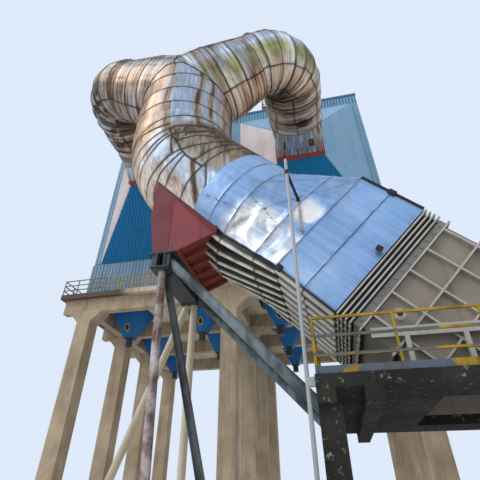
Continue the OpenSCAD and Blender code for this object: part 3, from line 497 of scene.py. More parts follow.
def skin(name, finish, cols, ring, count, zone, replaces=(), seams=None, around_r=RISER_R,
         first=None, last=None, laps=0, seed=1, ripple=0.012, bulge=0.015, bead=0.018, step=0.13, jump=1.0,
         dent=None, relief=None, marks=None, pick=None, streaks="along"):
    """Clad duct piece through rings. ring(k, t, off) gives a point of ring k at column t, pushed out by off.
    first(t) and last(t) limit the run along each column, in rings. relief(j, u) is extra height.
    zone(t, u, point) gives tone, warmth, soot and olive stain. jump is how much the sheets differ.
    marks(t, u, point) gives the distance to further seams, pick(t) a face's place in finish."""
    random.seed(seed)
    n = len(cols)
    seams = range(count) if seams is None else seams
    base = [[ring(k, t, 0.0) for t in cols] for k in range(count)]
    lengths = [[max(1e-4, (q - p).length) for p, q in zip(*pair)] for pair in zip(base, base[1:])]
    mean = [sum(row) / n for row in lengths]
    start = [first(t) if first else 0.0 for t in cols]
    end = [last(t) if last else count - 1.0 for t in cols]
    lap_cols = []
    for k in range(count - 1):
        phase = random.randrange(n)
        lap_cols.append(sorted((phase + round(i * n / laps) + random.randrange(-n // 18, n // 18 + 1)) % n
                               for i in range(laps)))
    # Rows across the run: at and beside each seam, and between them. The share of a sheet's length comes last.
    rows = []
    for k in range(count - 1):
        inner = max(2, round(mean[k] / step))
        rows += [(k, "after", d) for d in (0.0, LAP_TOP, LAP_FOOT)]
        rows += [(k, "between", (i + 1) / (inner + 1)) for i in range(inner)]
        rows += [(k, "before", d) for d in (LAP_FOOT, LAP_TOP)]
    rows.append((count - 2, "before", 0.0))
    run_at = list(accumulate(mean, initial=0.0))
    spacing = [(cols[(j + 1) % n] - cols[j]) % (2 * math.pi) * around_r for j in range(n)]
    reach = list(accumulate(spacing[:-1], initial=0.0))
    around = sum(spacing)

    points, looks_at, outer = [], [], []
    for k, kind, d in rows:
        line = []
        for j, t in enumerate(cols):
            length = lengths[k][j]
            foot = min(LAP_FOOT, 0.42 * length)
            if kind == "between":
                f = (foot + (length - 2 * foot) * d) / length
            else:
                f = min(d, foot) / length
                f = f if kind == "after" else 1 - f
            u = min(max(k + f, start[j]), end[j])
            if outer and abs(u - outer[-1][j][1]) < 1e-9:
                line.append(outer[-1][j])
                continue
            kk = min(int(u), count - 2)
            g = u - kk
            to_a, to_b = g * lengths[kk][j], (1 - g) * lengths[kk][j]
            beside = min(to_a, to_b)
            gap, off = NO_SEAM, 0.0
            if (kk if to_a < to_b else kk + 1) in seams:
                gap = beside
                off = bead * (1.0 if gap < LAP_TOP + 0.0005 else max(0.0, (LAP_FOOT - gap) / 0.02))
            lap_gap, inside, sector = NO_SEAM, 1.0, 0
            if laps:
                starts = lap_cols[kk]
                sector = min(range(laps), key=lambda i: (j - starts[i]) % n)
                since, after = (j - starts[sector]) % n, starts[(sector + 1) % laps]
                inside = math.sin(math.pi * (since / ((after - starts[sector]) % n or n)))
                lap_gap = min(since, (after - j) % n) * around / n
                if since == 0:
                    off += bead * 0.45
            along = math.sin(math.pi * g)
            tag = seed * 31 + kk * 7
            rolls = wave(tag, reach[j], 2.6) * 1.1 + wave(tag + 3, reach[j], 6.0) * 0.6
            off += along ** 0.6 * ripple * rolls
            off += along * inside * bulge * wave(tag + sector * 5, 3.3, 4.1) * 2
            point = on_rings(ring, count, u, t, off)
            extra = relief(j, u) if relief else 0.0
            if dent and not extra:
                extra = dent(point, t, u) * min(1.0, 0.25 + beside / 0.3)
            if extra:
                point = on_rings(ring, count, u, t, off + extra)
            run = run_at[kk] + g * mean[kk]
            flow = {"along": (run, reach[j], 0.0), "around": (reach[j], run, 0.0),
                    "down": (point.z, point.x, point.y)}[streaks]
            edge = min(gap, lap_gap, marks(t, u, point) if marks else NO_SEAM)
            line.append((len(points), u, seed * 977 + kk * 53 + sector))
            points.append(point)
            looks_at.append((flow, edge, (*zone(t, u, point), 0.0, 0.0, 0.0)[:4]))
        outer.append(line)
    inner = []
    for k in range(count):
        line = []
        for j, t in enumerate(cols):
            u = min(max(float(k), start[j]), end[j])
            if inner and abs(u - inner[-1][j][1]) < 1e-9:
                line.append(inner[-1][j])
                continue
            line.append((len(points), u))
            points.append(on_rings(ring, count, u, t, -WALL))
            looks_at.append(((0.0, reach[j], 0.0), NO_SEAM, (0.15, 0.5, 0.0, 0.0)))
        inner.append(line)

    faces, panels, face_finish = [], [], []

    def add(corners, panel=0.3, place=0):
        ids = [corner[0] for corner in corners]
        ids = [v for i, v in enumerate(ids) if v != ids[i - 1]]
        if len(set(ids)) > 2:
            faces.append(ids)
            panels.append(panel)
            face_finish.append(place)

    pairs = [(j, (j + 1) % n) for j in range(n)]
    for low, high in zip(outer, outer[1:]):
        for j, m in pairs:
            number = random.Random(low[j][2]).random()
            add((low[j], low[m], high[m], high[j]), 0.5 + jump * (number - 0.5), pick(cols[j]) if pick else 0)
    for low, high in zip(inner, inner[1:]):
        for j, m in pairs:
            add((low[j], high[j], high[m], low[m]))
    for j, m in pairs:
        add((outer[0][m], outer[0][j], inner[0][j], inner[0][m]))
        add((outer[-1][j], outer[-1][m], inner[-1][m], inner[-1][j]))
    add_piece(name, points, faces, finish, replaces, 38, (
        ("flow", "FLOAT_VECTOR", "POINT", [c for flow, _, _ in looks_at for c in flow]),
        ("edge", "FLOAT", "POINT", [edge for _, edge, _ in looks_at]),
        ("look", "FLOAT_VECTOR", "POINT", [c for _, _, look in looks_at for c in look[:3]]),
        ("olive", "FLOAT", "POINT", [look[3] for _, _, look in looks_at]),
        ("panel", "FLOAT", "FACE", panels)), face_finish)


def looks(points, x):
    """Values at x between rows of (x, tone, warmth, soot, olive); what a row leaves out is 0."""
    rows = [(*row, 0.0, 0.0, 0.0)[:5] for row in points]
    for a, b in zip(rows, rows[1:]):
        if x <= b[0]:
            f = max(0.0, (x - a[0]) / (b[0] - a[0]))
            return tuple(p + (q - p) * f for p, q in zip(a[1:], b[1:]))
    return rows[-1][1:]


def between(a, b, f):
    """Mix of two looks."""
    f = min(1.0, max(0.0, f))
    return tuple(p + (q - p) * f for p, q in zip(a, b))


def degrees(t):
    return math.degrees(t) % 360


# ---------------------------------------------------------------- riser and fork

# Painted reflections and highlights, along with stains, across the riser's width as the camera sees it, from
# the left edge to the right
RISER_SHEEN_AND_STAINS = [(0.0, 0.30, 0.8), (0.05, 0.46, 0.9), (0.10, 0.38, 0.9), (0.14, 0.54, 0.9), (0.19, 0.46, 0.8),
              (0.22, 0.60, 0.7), (0.26, 0.64, 0.5), (0.29, 0.34, 0.6), (0.31, 0.38, 0.5), (0.345, 0.66, 0.05),
              (0.45, 0.70, 0.0), (0.56, 0.66, 0.0), (0.585, 0.22, 0.35), (0.605, 0.28, 0.3), (0.64, 0.64, 0.0),
              (0.69, 0.60, 0.1), (0.715, 0.24, 0.4), (0.74, 0.30, 0.35), (0.77, 0.68, 0.1), (0.80, 0.46, 0.4),
              (0.83, 0.60, 0.2), (0.87, 0.36, 0.6), (0.91, 0.52, 0.5), (0.95, 0.32, 0.6), (1.0, 0.24, 0.5)]


def riser_zone(t, u, point):
    """Painted reflections and highlights, along with stains, round an upright duct, laid out across its width
    as the camera sees it; the far half repeats the near half.
    """
    x = (math.sin(t - math.radians(294.8)) + 1) / 2
    x += 0.022 * wave(2, point.z, 0.9) + 0.014 * noise.noise(Vector((t * 5.0, point.z * 0.5, 8.0)))
    return looks(RISER_SHEEN_AND_STAINS, x)


def riser_ring(levels):
    def ring(k, t, off):
        r = RISER_R + off
        return Vector((r * math.cos(t), DUCT_Y + r * math.sin(t), levels[k]))
    return ring


LEVELS = [RISER_LOW, 15.0, 16.0, RISER_HIGH]
skin("riser_cladding", ("duct_stained",), turns(240), riser_ring(LEVELS), len(LEVELS), riser_zone,
     replaces=("riser",), seams=(1, 2), laps=2, seed=3, jump=0.12)

# Fork: an upright part whose top is cut by the legs, and two legs cut by each other and by it.
FORK_C = Vector((0, DUCT_Y, FORK_Z))
COS_B, SIN_B = math.cos(BRANCH_A), math.sin(BRANCH_A)
LEG_MID, LEG_MID_R = CONE_L * 0.45, 2.05
LEG_RINGS = [0.0, 0.75, LEG_MID, 2.69, CONE_L]


def bisect(low, high, holds, rounds):
    """Values close to each other, where something holds at the lower and no longer at the higher one."""
    for _ in range(rounds):
        mid = (low + high) / 2
        low, high = (mid, high) if holds(mid) else (low, mid)
    return low, high


def leg_radius(s):
    if s < LEG_MID:
        return RISER_R - (RISER_R - LEG_MID_R) * s / LEG_MID
    return LEG_MID_R - (LEG_MID_R - BRANCH_R) * (s - LEG_MID) / (CONE_L - LEG_MID)


def leg_axes(side):
    """Directions along a leg and, upwards, across it."""
    return Vector((side * COS_B, 0, SIN_B)), Vector((-side * SIN_B, 0, COS_B))


def leg_ring(side):
    along, up = leg_axes(side)

    def ring(k, t, off):
        s = LEG_RINGS[k]
        across = up * math.cos(t) + Vector((0, 1, 0)) * math.sin(t)
        return FORK_C + along * s + across * (leg_radius(s) + off)
    return ring


def leg_start(side):
    ring = leg_ring(side)

    def first(t):
        def hidden(u):
            p = on_rings(ring, len(LEG_RINGS), u, t, 0)
            return p.x * side < 0 or (p.z < FORK_Z and p.x ** 2 + (p.y - DUCT_Y) ** 2 < RISER_R ** 2)
        low = max((i * 0.02 for i in range(150) if hidden(i * 0.02)), default=0.0)
        return bisect(low, low + 0.02, hidden, 14)[1]
    return first


def neck_end(t):
    """Height at which a leg takes over from the upright part."""
    x, y = abs(RISER_R * math.cos(t)), RISER_R * math.sin(t)

    def free(z):
        s = x * COS_B + (z - FORK_Z) * SIN_B
        return s <= 0 or math.hypot(y, (z - FORK_Z) * COS_B - x * SIN_B) >= leg_radius(s)
    return bisect(15.5, FORK_Z, free, 24)[0]


NECK = [16.4, 17.0, FORK_Z + 0.02]


def neck_place(z):
    """Where a height lies, in rings of the neck."""
    return (z - NECK[0]) / (NECK[1] - NECK[0]) if z < NECK[1] else 1 + (z - NECK[1]) / (NECK[2] - NECK[1])


def neck_last(t):
    return neck_place(max(neck_end(t), NECK[0] + 0.01))


def neck_first(t):
    return min(neck_place(RISER_HIGH), neck_last(t) - 0.005)


skin("fork_neck", ("duct_stained",), turns(240), riser_ring(NECK), 3, riser_zone, seams=(1,), first=neck_first,
     last=neck_last, laps=2, seed=3, jump=0.12)

# Tones around the legs and branches, by the angle in degrees: painted reflections and highlights along with
# stains
LEFT_SHEEN_AND_STAINS = [(0, 0.25, 0.5), (110, 0.30, 0.6), (135, 0.32, 0.7, 0.04), (155, 0.42, 0.8), (175, 0.32, 0.4, 0.08),
             (200, 0.34, 0.3, 0.10), (220, 0.38, 0.4, 0.08), (236, 0.42, 0.7), (252, 0.52, 0.7),
             (268, 0.58, 0.4), (282, 0.44, 0.1, 0.08), (296, 0.28, 0.35, 0.10), (312, 0.14, 0.5, 0.12),
             (360, 0.20, 0.5)]
RIGHT_SHEEN_AND_STAINS = [(0, 0.22, 0.5), (105, 0.26, 0.6), (125, 0.28, 0.8, 0.05), (140, 0.46, 1.0), (165, 0.55, 1.0),
              (190, 0.60, 1.0), (208, 0.64, 0.8, 0.0, 0.1), (220, 0.72, 0.4, 0.0, 0.9),
              (238, 0.72, 0.3, 0.0, 1.0), (248, 0.66, 0.1, 0.02, 0.5), (256, 0.72, 0.0, 0.06),
              (272, 0.54, 0.0, 0.10), (284, 0.28, 0.3, 0.12), (302, 0.10, 0.4, 0.12), (360, 0.20, 0.5)]
SIDE_LAPS = (57, 106, 152, 203, 284)
SIDES = ((-1, "left"), (1, "right"))


def side_look(side):
    rows = RIGHT_SHEEN_AND_STAINS if side > 0 else LEFT_SHEEN_AND_STAINS
    return lambda t, u, point: looks(rows, degrees(t))


def side_marks(t, u, point):
    """Distance to the lengthwise laps of the legs and branches, which step from sheet to sheet."""
    return min(abs(degrees(t) - lap - 7 * wave(lap, math.floor(u), 1.7)) for lap in SIDE_LAPS) * 0.022


for (side, word), seed in zip(SIDES, (11, 13)):
    skin("fork_leg_" + word, ("duct_dark",), turns(216), leg_ring(side), len(LEG_RINGS), side_look(side),
         replaces=("fork",), seams=(2, 3), first=leg_start(side), seed=seed, ripple=0.030, marks=side_marks,
         streaks="around", jump=0.8)

weld = Part()
for side, _ in SIDES:
    ring, first = leg_ring(side), leg_start(side)
    weld.tube([on_rings(ring, len(LEG_RINGS), first(t), t, 0.004) for t in turns(120)], 0.028, 8, closed=True)
weld.make("fork_seams", "tar_black", "duct_stained", smooth=True)


# ---------------------------------------------------------------- branches

GORES = 6
GORE_A = math.pi / 2 / GORES
BRANCH_TAIL = COLLAR_Y - SQUARE_L - DUCT_Y - BRANCH_BEND
# Angle in the bend, how much a mitre stretches the section, and way beyond the bend
BRANCH_STATIONS = [(0.0, 1.0, 0.0)]
BRANCH_STATIONS += [((k + 0.5) * GORE_A, 1 / math.cos(GORE_A / 2), 0.0) for k in range(GORES)]
BRANCH_STATIONS += [(math.pi / 2, 1.0, BRANCH_TAIL * f) for f in (0.28, 0.64, 1.0)]


def branch_ring(side):
    along, up = leg_axes(side)
    back = Vector((0, 1, 0))
    centre = FORK_C + along * CONE_L + back * BRANCH_BEND

    def ring(k, t, off):
        a, stretch, tail = BRANCH_STATIONS[k]
        r = BRANCH_R + off
        rho = (BRANCH_BEND - r * math.sin(t)) * stretch
        return centre + (along * math.sin(a) - back * math.cos(a)) * rho + up * (r * math.cos(t)) + back * tail
    return ring


def crumple(scale, depth, seed):
    """Sharp-edged dents, as a boot or a fallen load leaves in thin sheet."""
    def dent(p, t, u):
        q = Vector((p.x * scale + seed * 3.7, p.y * scale, p.z * scale))
        ridge = 1 - abs(noise.noise(q)) * 2
        small = 1 - abs(noise.noise(q * 2.3)) * 2
        return depth * (ridge * 0.75 + small * 0.3 - 0.75)
    return dent


def painted_dent_shade(dent, p, reach=0.16):
    """Painted shading of a dented sheet, as if lit from the upper left: how its tone turns with the slope of
    its dents towards the left and up, -1 to 1 at most.
    """
    dent_shade = dent(p + Vector((-0.75, 0.0, 0.65)) * reach, 0, 0) - dent(p, 0, 0)
    return max(-1.0, min(1.0, dent_shade * 1.4))


def near(x, y, x0, y0, wide, high):
    """1 at a place, falling to 0 at its rim."""
    return max(0.0, 1 - ((x - x0) / wide) ** 2 - ((y - y0) / high) ** 2)


def patch(p, scale, seed):
    """Distance from the middle of a crumpled sheet's facet, and a number for that facet from -1 to 1."""
    far, spots = noise.voronoi(p * scale + Vector((seed * 3.7, seed * 1.3, 0.0)))
    return far[0], max(-1.0, min(1.0, 2.5 * noise.noise(spots[0] * 3.1)))


def low_left(t):
    """1 on the left branch's crumpled underside, falling to 0 at its rim."""
    return max(0.0, 1 - abs(degrees(t) - 195) / 62)


# Tones round the right branch's end, by the angle in degrees: painted reflections and highlights along with
# stains
DROP_SHEEN_AND_STAINS = [(0, 0.3, 0.4), (80, 0.4, 0.6), (98, 0.56, 0.8), (124, 0.52, 0.75), (132, 0.38, 0.5),
             (196, 0.40, 0.45), (206, 0.30, 0.6), (222, 0.62, 0.85), (240, 0.36, 0.8, 0.05), (256, 0.66, 0.6),
             (275, 0.42, 0.8), (300, 0.5, 0.5), (330, 0.4, 0.4), (360, 0.3, 0.4)]
BOOT_SHEET = crumple(1.5, 1.0, 7)


def branch_zone(side):
    base = side_look(side)

    def right(t, u, point):
        q = degrees(t)
        look = between(base(t, u, point), looks(DROP_SHEEN_AND_STAINS, q), (u - 5.4) / 1.2)
        dark = max(0.0, 1 - abs(q - 122) / 48) * max(0.0, 1 - abs(u - 4.4) / 2.6)
        look = between(look, (0.24, 0.45, 0.33, 0.0), dark * 1.8)
        spot = near(q, u, 170, 8.1, 24, 0.42) + 0.35 * wave(9, q, 0.11)
        return between(look, (0.06, 0.3, 0.35, 0.0), 1.6 * max(0.0, spot - 0.1) if 7.4 < u < 8.8 else 0.0)

    def left(t, u, point):
        low = low_left(t) * min(1.0, max(0.0, (u - 1.0) / 1.5)) * max(0.0, 1 - max(0.0, u - 6.5) / 2)
        tone, warm, soot, olive = base(t, u, point)
        # Painted shading of the dents as if lit from the upper left, and a tone for each crumpled facet
        tone += (0.30 * painted_dent_shade(BOOT_SHEET, point) + 0.50 * patch(point, 2.6, 3)[1] - 0.04) * low
        return tone, warm * (1 - 0.5 * low), soot + 0.12 * low, olive
    return right if side > 0 else left


def branch_dent(side, seed):
    soft, hard = crumple(1.1, 0.05, seed), crumple(1.5, 0.09, 7)

    def left(p, t, u):
        low = low_left(t)
        return soft(p, t, u) * (1 - low) + (hard(p, t, u) - 0.05 * patch(p, 2.4, 3)[0]) * low
    return soft if side > 0 else left


for (side, word), seed in zip(SIDES, (21, 23)):
    skin("branch_cladding_" + word, ("duct_dark",), turns(180), branch_ring(side), len(BRANCH_STATIONS),
         branch_zone(side), replaces=("branch_" + word,), marks=side_marks, seed=seed, around_r=BRANCH_R,
         ripple=0.035, bulge=0.03, dent=branch_dent(side, seed), streaks="around", jump=0.8)


def outline(t, half_w, half_h, lift=0.0):
    """Point of a rectangle that the angle t stands for. t = 0 is the middle of the +w side."""
    q = math.degrees((t + math.pi / 4) % (2 * math.pi) - math.pi / 4)
    if q < 45:
        return half_w, half_h * q / 45 + lift
    if q < 135:
        return half_w * (90 - q) / 45, half_h + lift
    if q < 225:
        return -half_w, half_h * (180 - q) / 45 + lift
    return half_w * (q - 270) / 45, -half_h + lift


def squared(f, t, r, *rectangle):
    """Section between a circle, at f = 0, and a rectangle."""
    x, y = outline(t, *rectangle)
    return (1 - f) * r * math.cos(t) + f * x, (1 - f) * r * math.sin(t) + f * y


def pushed(section, t, e, off):
    """Point of a section, moved out by off. Its direction comes from the points at e on both sides."""
    (x0, y0), (x1, y1), (x2, y2) = section(t - e), section(t), section(t + e)
    nx, ny = y2 - y0, x0 - x2
    size = math.hypot(nx, ny) or 1.0
    return x1 + nx / size * off, y1 + ny / size * off


def square_ring(side):
    def ring(k, t, off):
        f = k / 3
        x, z = pushed(lambda a: squared(f, a, BRANCH_R, MOUTH_W / 2, MOUTH_W / 2), t, 0.004, off)
        return Vector((side * MOUTH_X + x, COLLAR_Y - SQUARE_L + SQUARE_L * f, MOUTH_Z + z))
    return ring


SQUARE_LOOK = [(0, 0.42, 0.8, 0.1), (45, 0.35, 0.5), (135, 0.35, 0.5), (180, 0.56, 0.6), (220, 0.58, 0.4),
               (232, 0.62, 0.0, 0.12), (308, 0.60, 0.0, 0.12), (318, 0.48, 0.9, 0.15), (360, 0.42, 0.8, 0.1)]
for side, word in SIDES:
    skin("square_cladding_" + word, ("duct_dark",), turns(176), square_ring(side), 4,
         lambda t, u, point: looks(SQUARE_LOOK, degrees(t)), replaces=("square_piece_" + word,), seams=(),
         laps=4, seed=31 + side, around_r=BRANCH_R, ripple=0.01, dent=crumple(1.4, 0.03, 40 + side), jump=0.5)


# ---------------------------------------------------------------- lower bend

BEND_A = math.radians(44)
TAIL = BRIGHT_START - BEND_R * math.tan(BEND_A / 2)
BEND_MITRES = [0.0, 8.3, 18.0, 26.5, 33.0, 39.5, 44.0]
# Angle in the bend, and way beyond it
BEND_STATIONS = [(math.radians(a), 0.0) for a in BEND_MITRES] + [(BEND_A, TAIL * 0.42), (BEND_A, TAIL)]


def bend_ring(k, t, off):
    a, tail = BEND_STATIONS[k]
    r = RISER_R + off
    rho = BEND_R - r * math.cos(t)
    if 0 < k < 6:
        rho /= math.cos((BEND_STATIONS[k + 1][0] - BEND_STATIONS[k - 1][0]) / 4)
    return Vector((BEND_R - rho * math.cos(a) + tail * math.sin(a), DUCT_Y + r * math.sin(t),
                   RISER_LOW - rho * math.sin(a) - tail * math.cos(a)))


# Seams as the photo shows them, each through points of way along the bend's axis and angle round it
BEND_ARCS = [BEND_R * a + tail for a, tail in BEND_STATIONS]
BEND_LINES = [
    [(0.70, 190), (0.66, 242), (0.56, 260), (0.50, 290), (0.52, 327), (0.55, 360)],
    [(0.72, 210), (0.82, 245), (1.0, 274)],
    [(1.22, 190), (1.22, 228), (1.27, 260), (1.27, 274), (1.40, 290), (1.66, 303), (1.80, 317), (1.85, 360)],
    [(1.50, 200), (1.55, 240), (1.52, 268)],
    [(1.70, 190), (1.74, 240), (1.68, 270), (1.82, 279), (2.16, 290), (2.4, 303), (2.45, 360)],
    [(1.27, 273), (1.78, 270.5), (2.2, 270), (2.7, 265), (3.1, 263), (4.06, 262.5)],
    [(2.2, 270), (2.36, 280), (2.58, 292), (3.02, 303), (3.1, 360)],
    [(2.7, 265), (2.96, 276), (3.22, 287), (3.46, 300), (3.5, 360)],
    [(3.6, 264), (3.66, 279), (3.76, 300), (3.8, 360)],
    [(4.06, 262.5), (4.06, 275), (4.15, 300), (4.2, 360)],
    [(2.08, 190), (2.2, 220), (2.3, 234), (2.44, 252), (2.66, 265)],
    [(2.48, 200), (2.56, 234), (2.72, 250), (2.84, 264)],
    [(3.1, 200), (3.04, 242), (3.02, 263)],
    [(4.02, 200), (3.98, 244), (4.06, 262.5)],
    [(1.78, 270.5), (2.5, 257)],
    [(4.1, 266.5), (4.58, 255), (4.76, 249)],
]
DARK_RUN = [[(3.54, 262.5), (3.84, 255.5), (4.18, 247), (4.54, 238), (4.76, 232)]]
# Look round the bend's lower end, by the angle in degrees: painted sunlit panels, highlights and reflections
# along with stains
BEND_SHEEN_AND_STAINS = [(0, 0.28, 0.4, 0.0, 0.7), (56, 0.24, 0.45, 0.0, 0.7), (80, 0.38, 0.2, 0.0, 0.45), (95, 0.44, 0.15),
             (100, 0.66, 0.0), (122, 0.68, 0.4), (150, 0.62, 0.8), (190, 0.60, 0.9), (208, 0.78, 0.95),
             (228, 0.80, 0.85), (239, 0.70, 0.45), (248, 0.72, 0.05), (263, 0.70, 0.0),
             (267, 0.40, 0.1, 0.03, 0.2), (280, 0.32, 0.15, 0.06, 0.5), (292, 0.30, 0.4, 0.0, 0.5),
             (304, 0.24, 0.45, 0.0, 0.7), (340, 0.26, 0.4, 0.04, 0.7), (360, 0.28, 0.4, 0.0, 0.7)]


def to_segment(x, y, x0, y0, x1, y1):
    """Distance from a point to a straight piece of line."""
    dx, dy, px, py = x1 - x0, y1 - y0, x - x0, y - y0
    f = min(1.0, max(0.0, (px * dx + py * dy) / (dx * dx + dy * dy)))
    return math.hypot(px - f * dx, py - f * dy)


def bend_gap(lines, t, u):
    """Distance on the bend's surface to the nearest of the lines."""
    q = degrees(t)
    q = q if q >= 180 else 360 - q
    k = min(int(u), len(BEND_ARCS) - 2)
    arc = BEND_ARCS[k] + (BEND_ARCS[k + 1] - BEND_ARCS[k]) * (u - k)
    stretch = 1 - RISER_R * math.cos(t) / BEND_R if arc < BEND_R * BEND_A else 1.0
    turn = math.radians(RISER_R)
    return min((to_segment(arc * stretch, q * turn, a0 * stretch, q0 * turn, a1 * stretch, q1 * turn)
                for line in lines for (a0, q0), (a1, q1) in zip(line, line[1:]) if abs(arc - a0) <= 1.2),
               default=NO_SEAM)


def bend_zone(t, u, point):
    q = degrees(t)
    look = between(riser_zone(t, u, point), looks(BEND_SHEEN_AND_STAINS, q), (u - 1.6) / 1.6)
    dark = 0.7 * max(0.0, 1 - bend_gap(DARK_RUN, t, u) / 0.17) ** 0.6 + 0.25 * near(u, q, 6.7, 239, 0.6, 9)
    return look[0] - dark, *look[1:]


skin("lower_bend_cladding", ("duct_stained",), turns(300), bend_ring, len(BEND_STATIONS), bend_zone,
     replaces=("lower_bend",), seams=(), marks=lambda t, u, point: 0.5 * bend_gap(BEND_LINES, t, u), seed=41,
     ripple=0.014, streaks="down", jump=0.3, step=0.07)


# ---------------------------------------------------------------- hood

# The end of the round duct, its change to a rectangle, and the hood. Ribs run along its lower side.
RIBS = 8
RIB_COLS = (0.0, 0.08, 0.20, 0.32, 0.50, 0.68, 0.80, 0.92)
HOOD_COLS = [math.radians(low + 90 * i / count) for low, count in ((-45, 56), (45, 48), (135, 56))
             for i in range(count)]
PLAIN_COLS = len(HOOD_COLS)
HOOD_COLS += [math.radians(225 + 90 * (i + f) / RIBS) for i in range(RIBS) for f in RIB_COLS]
HOOD_STATIONS = [BRIGHT_START, 4.4, ROUND_END, 5.95, 6.7, HOOD_START, 8.55, HOOD_END]
FOLD = HOOD_STATIONS.index(HOOD_START)


def underside(t):
    return 225 <= degrees(t) < 315


def hood_ring(k, t, off):
    s = HOOD_STATIONS[k]
    f = min(1.0, max(0.0, (s - ROUND_END) / (HOOD_START - ROUND_END)))
    w, v = pushed(lambda a: squared(f, a, RISER_R, RISER_R, HOOD_HALF, HOOD_LIFT), t, 0.003, off)
    return slope_point(s, w, v)


def hood_rib(j, u):
    """How far a column of the lower side lies on a rib, 0 to 1: broad on the hood, narrow before it."""
    if j < PLAIN_COLS:
        return 0.0
    f = (j - PLAIN_COLS) % RIBS
    return float(1 < f < 5) if u >= FOLD else float(f in (4, 5)) + 0.5 * (f == 3)


def hood_relief(j, u):
    return 0.09 * hood_rib(j, u) * min(1.0, u / 0.5)


HOOD_SHEET = crumple(1.15, 1.0, 5)
# Lengthwise laps, each from and to a point along and across the inclined duct
HOOD_LAPS = [(5.3, -1.35, 7.5, 2.25), (3.65, -1.0, 5.2, -0.75), (5.25, 0.55, 6.65, 1.9),
             (6.75, -0.35, 7.5, -0.25), (5.25, -0.2, 6.65, -0.45)]


def on_duct(point):
    """Place of a point along and across the inclined duct."""
    x, z = point.x, point.z - BEND_Z
    return x * COS_S - z * SIN_S, x * SIN_S + z * COS_S


def hood_marks(t, u, point):
    """Distance to the lengthwise laps on the near side and, mirrored, on the far side."""
    return min(to_segment(*on_duct(point), *lap) for lap in HOOD_LAPS)


def hood_crumple_glare(point):
    """How crumpled the sheet is, and how far painted sunlight on the crumples makes it pale."""
    s, v = on_duct(point)
    return min(1.0, 1.6 * near(s, v, 6.3, -1.2, 1.6, 1.35) + 1.5 * near(s, v, 7.05, 0.4, 0.55, 0.6))


def hood_zone(t, u, point):
    # Painted shading of the hood sheet's dents, as if lit from the upper left
    dent_shade = painted_dent_shade(HOOD_SHEET, point)
    # On the underside the raised ribs are pale and the grooves between them near black, a painted shade in the
    # recesses
    if underside(t):
        part = ((degrees(t) - 225) / 90 * RIBS) % 1
        up = hood_rib(PLAIN_COLS + min(range(RIBS), key=lambda i: abs(RIB_COLS[i] - part)), u)
        if u >= FOLD:
            return (0.78 if up else 0.02), 0.8 * up
        return (0.95 + 0.3 * dent_shade if up == 1 else 0.04), 0.3 * up
    cloud = noise.noise(point * 0.55)
    if u >= FOLD:
        return 0.44 + 0.20 * cloud + 0.05 * dent_shade, 0.0
    # Painted sunlight on the crumples: a pale, warm tone where the sheet is crumpled, with the painted shading
    # of its dents
    crumple_glare = hood_crumple_glare(point)
    tone = 0.44 + 0.16 * cloud + (0.10 + 0.20 * crumple_glare) * dent_shade + crumple_glare * (0.42 + 0.20 * patch(point, 1.9, 6)[1])
    look = (tone, 0.85 * crumple_glare * (0.65 + 0.35 * patch(point, 1.3, 9)[1]), 0.0, 0.0)
    # Rust that runs down from the stay's lug
    rust = max(0.0, 1 - abs(point.x - 4.97) / 0.07) if 7.5 < point.z < 8.82 and point.y < DUCT_Y else 0.0
    return between(look, (0.5, 0.8, 0.0, 1.0), rust)


def hood_dent(p, t, u):
    if u >= FOLD:
        return min(0.012 * HOOD_SHEET(p, t, u), 0.006)
    crumple_glare = hood_crumple_glare(p)
    depth = (0.03 + 0.07 * crumple_glare) * (0.3 if underside(t) else 1.0)
    return max(-0.08, min(depth * HOOD_SHEET(p, t, u) - 0.07 * crumple_glare * patch(p, 1.9, 6)[0], 0.006))


skin("hood_cladding", ("duct_bright", "duct_under"), HOOD_COLS, hood_ring, len(HOOD_STATIONS), hood_zone,
     replaces=("lower_bend", "hood_transition", "hood"), seams=(1, 2, 4, 5, 6), seed=51,
     ripple=0.006, bulge=0.01, dent=hood_dent, pick=lambda t: int(underside(t)), relief=hood_relief,
     bead=0.012, step=0.08, jump=0.5, marks=hood_marks)


# ---------------------------------------------------------------- small parts of the duct

def slope_box(part, s0, s1, w0, w1, v0, v1):
    """Block in the inclined duct's frame."""
    section = rect(*sorted((w0, w1)), *sorted((v0, v1)))
    part.stack(*([slope_point(s, w, v) for w, v in section] for s in (s0, s1)))


def slope_ring(part, s0, s1, half_w, half_v, t):
    """Rectangular ring round the inclined duct, t thick."""
    for k in (-1, 1):
        slope_box(part, s0, s1, -half_w, half_w, HOOD_LIFT + k * half_v, HOOD_LIFT + k * (half_v - t))
        slope_box(part, s0, s1, k * half_w, k * (half_w - t), HOOD_LIFT - half_v + t, HOOD_LIFT + half_v - t)


# Expansion joint: dark bellows between the ribs, pale rims that carry wear and a painted highlight of their lit
# edges, bolted clamps below and on the flange
bellows, rims, clamps, joint_bolts = Part(), Part(), Part(), Part()
FLANGE_L, RIB_HALF = 0.24, 0.025
RIB_S = [HOOD_END + 0.12 * (i + 0.5) for i in range(4)]
LOW_V, HIGH_V = HOOD_LIFT - HOOD_HALF, HOOD_LIFT + HOOD_HALF
folds_from = [HOOD_END] + [s + RIB_HALF for s in RIB_S]
folds_to = [s - RIB_HALF for s in RIB_S] + [JOINT_END - FLANGE_L]
for s0, s1 in zip(folds_from, folds_to):
    slope_ring(bellows, s0 + 0.002, s1 - 0.002, 2.085, 1.805, 0.03)
for s in RIB_S + [JOINT_END - RIB_HALF]:
    slope_ring(rims, s - 0.018, s + 0.018, RISER_R + 0.006, HOOD_HALF + 0.006, 0.028)
    for i in range(10):
        w = -1.98 + 0.44 * i
        slope_box(clamps, s - 0.036, s + 0.036, w - 0.055, w + 0.055, LOW_V - 0.03, LOW_V + 0.02)
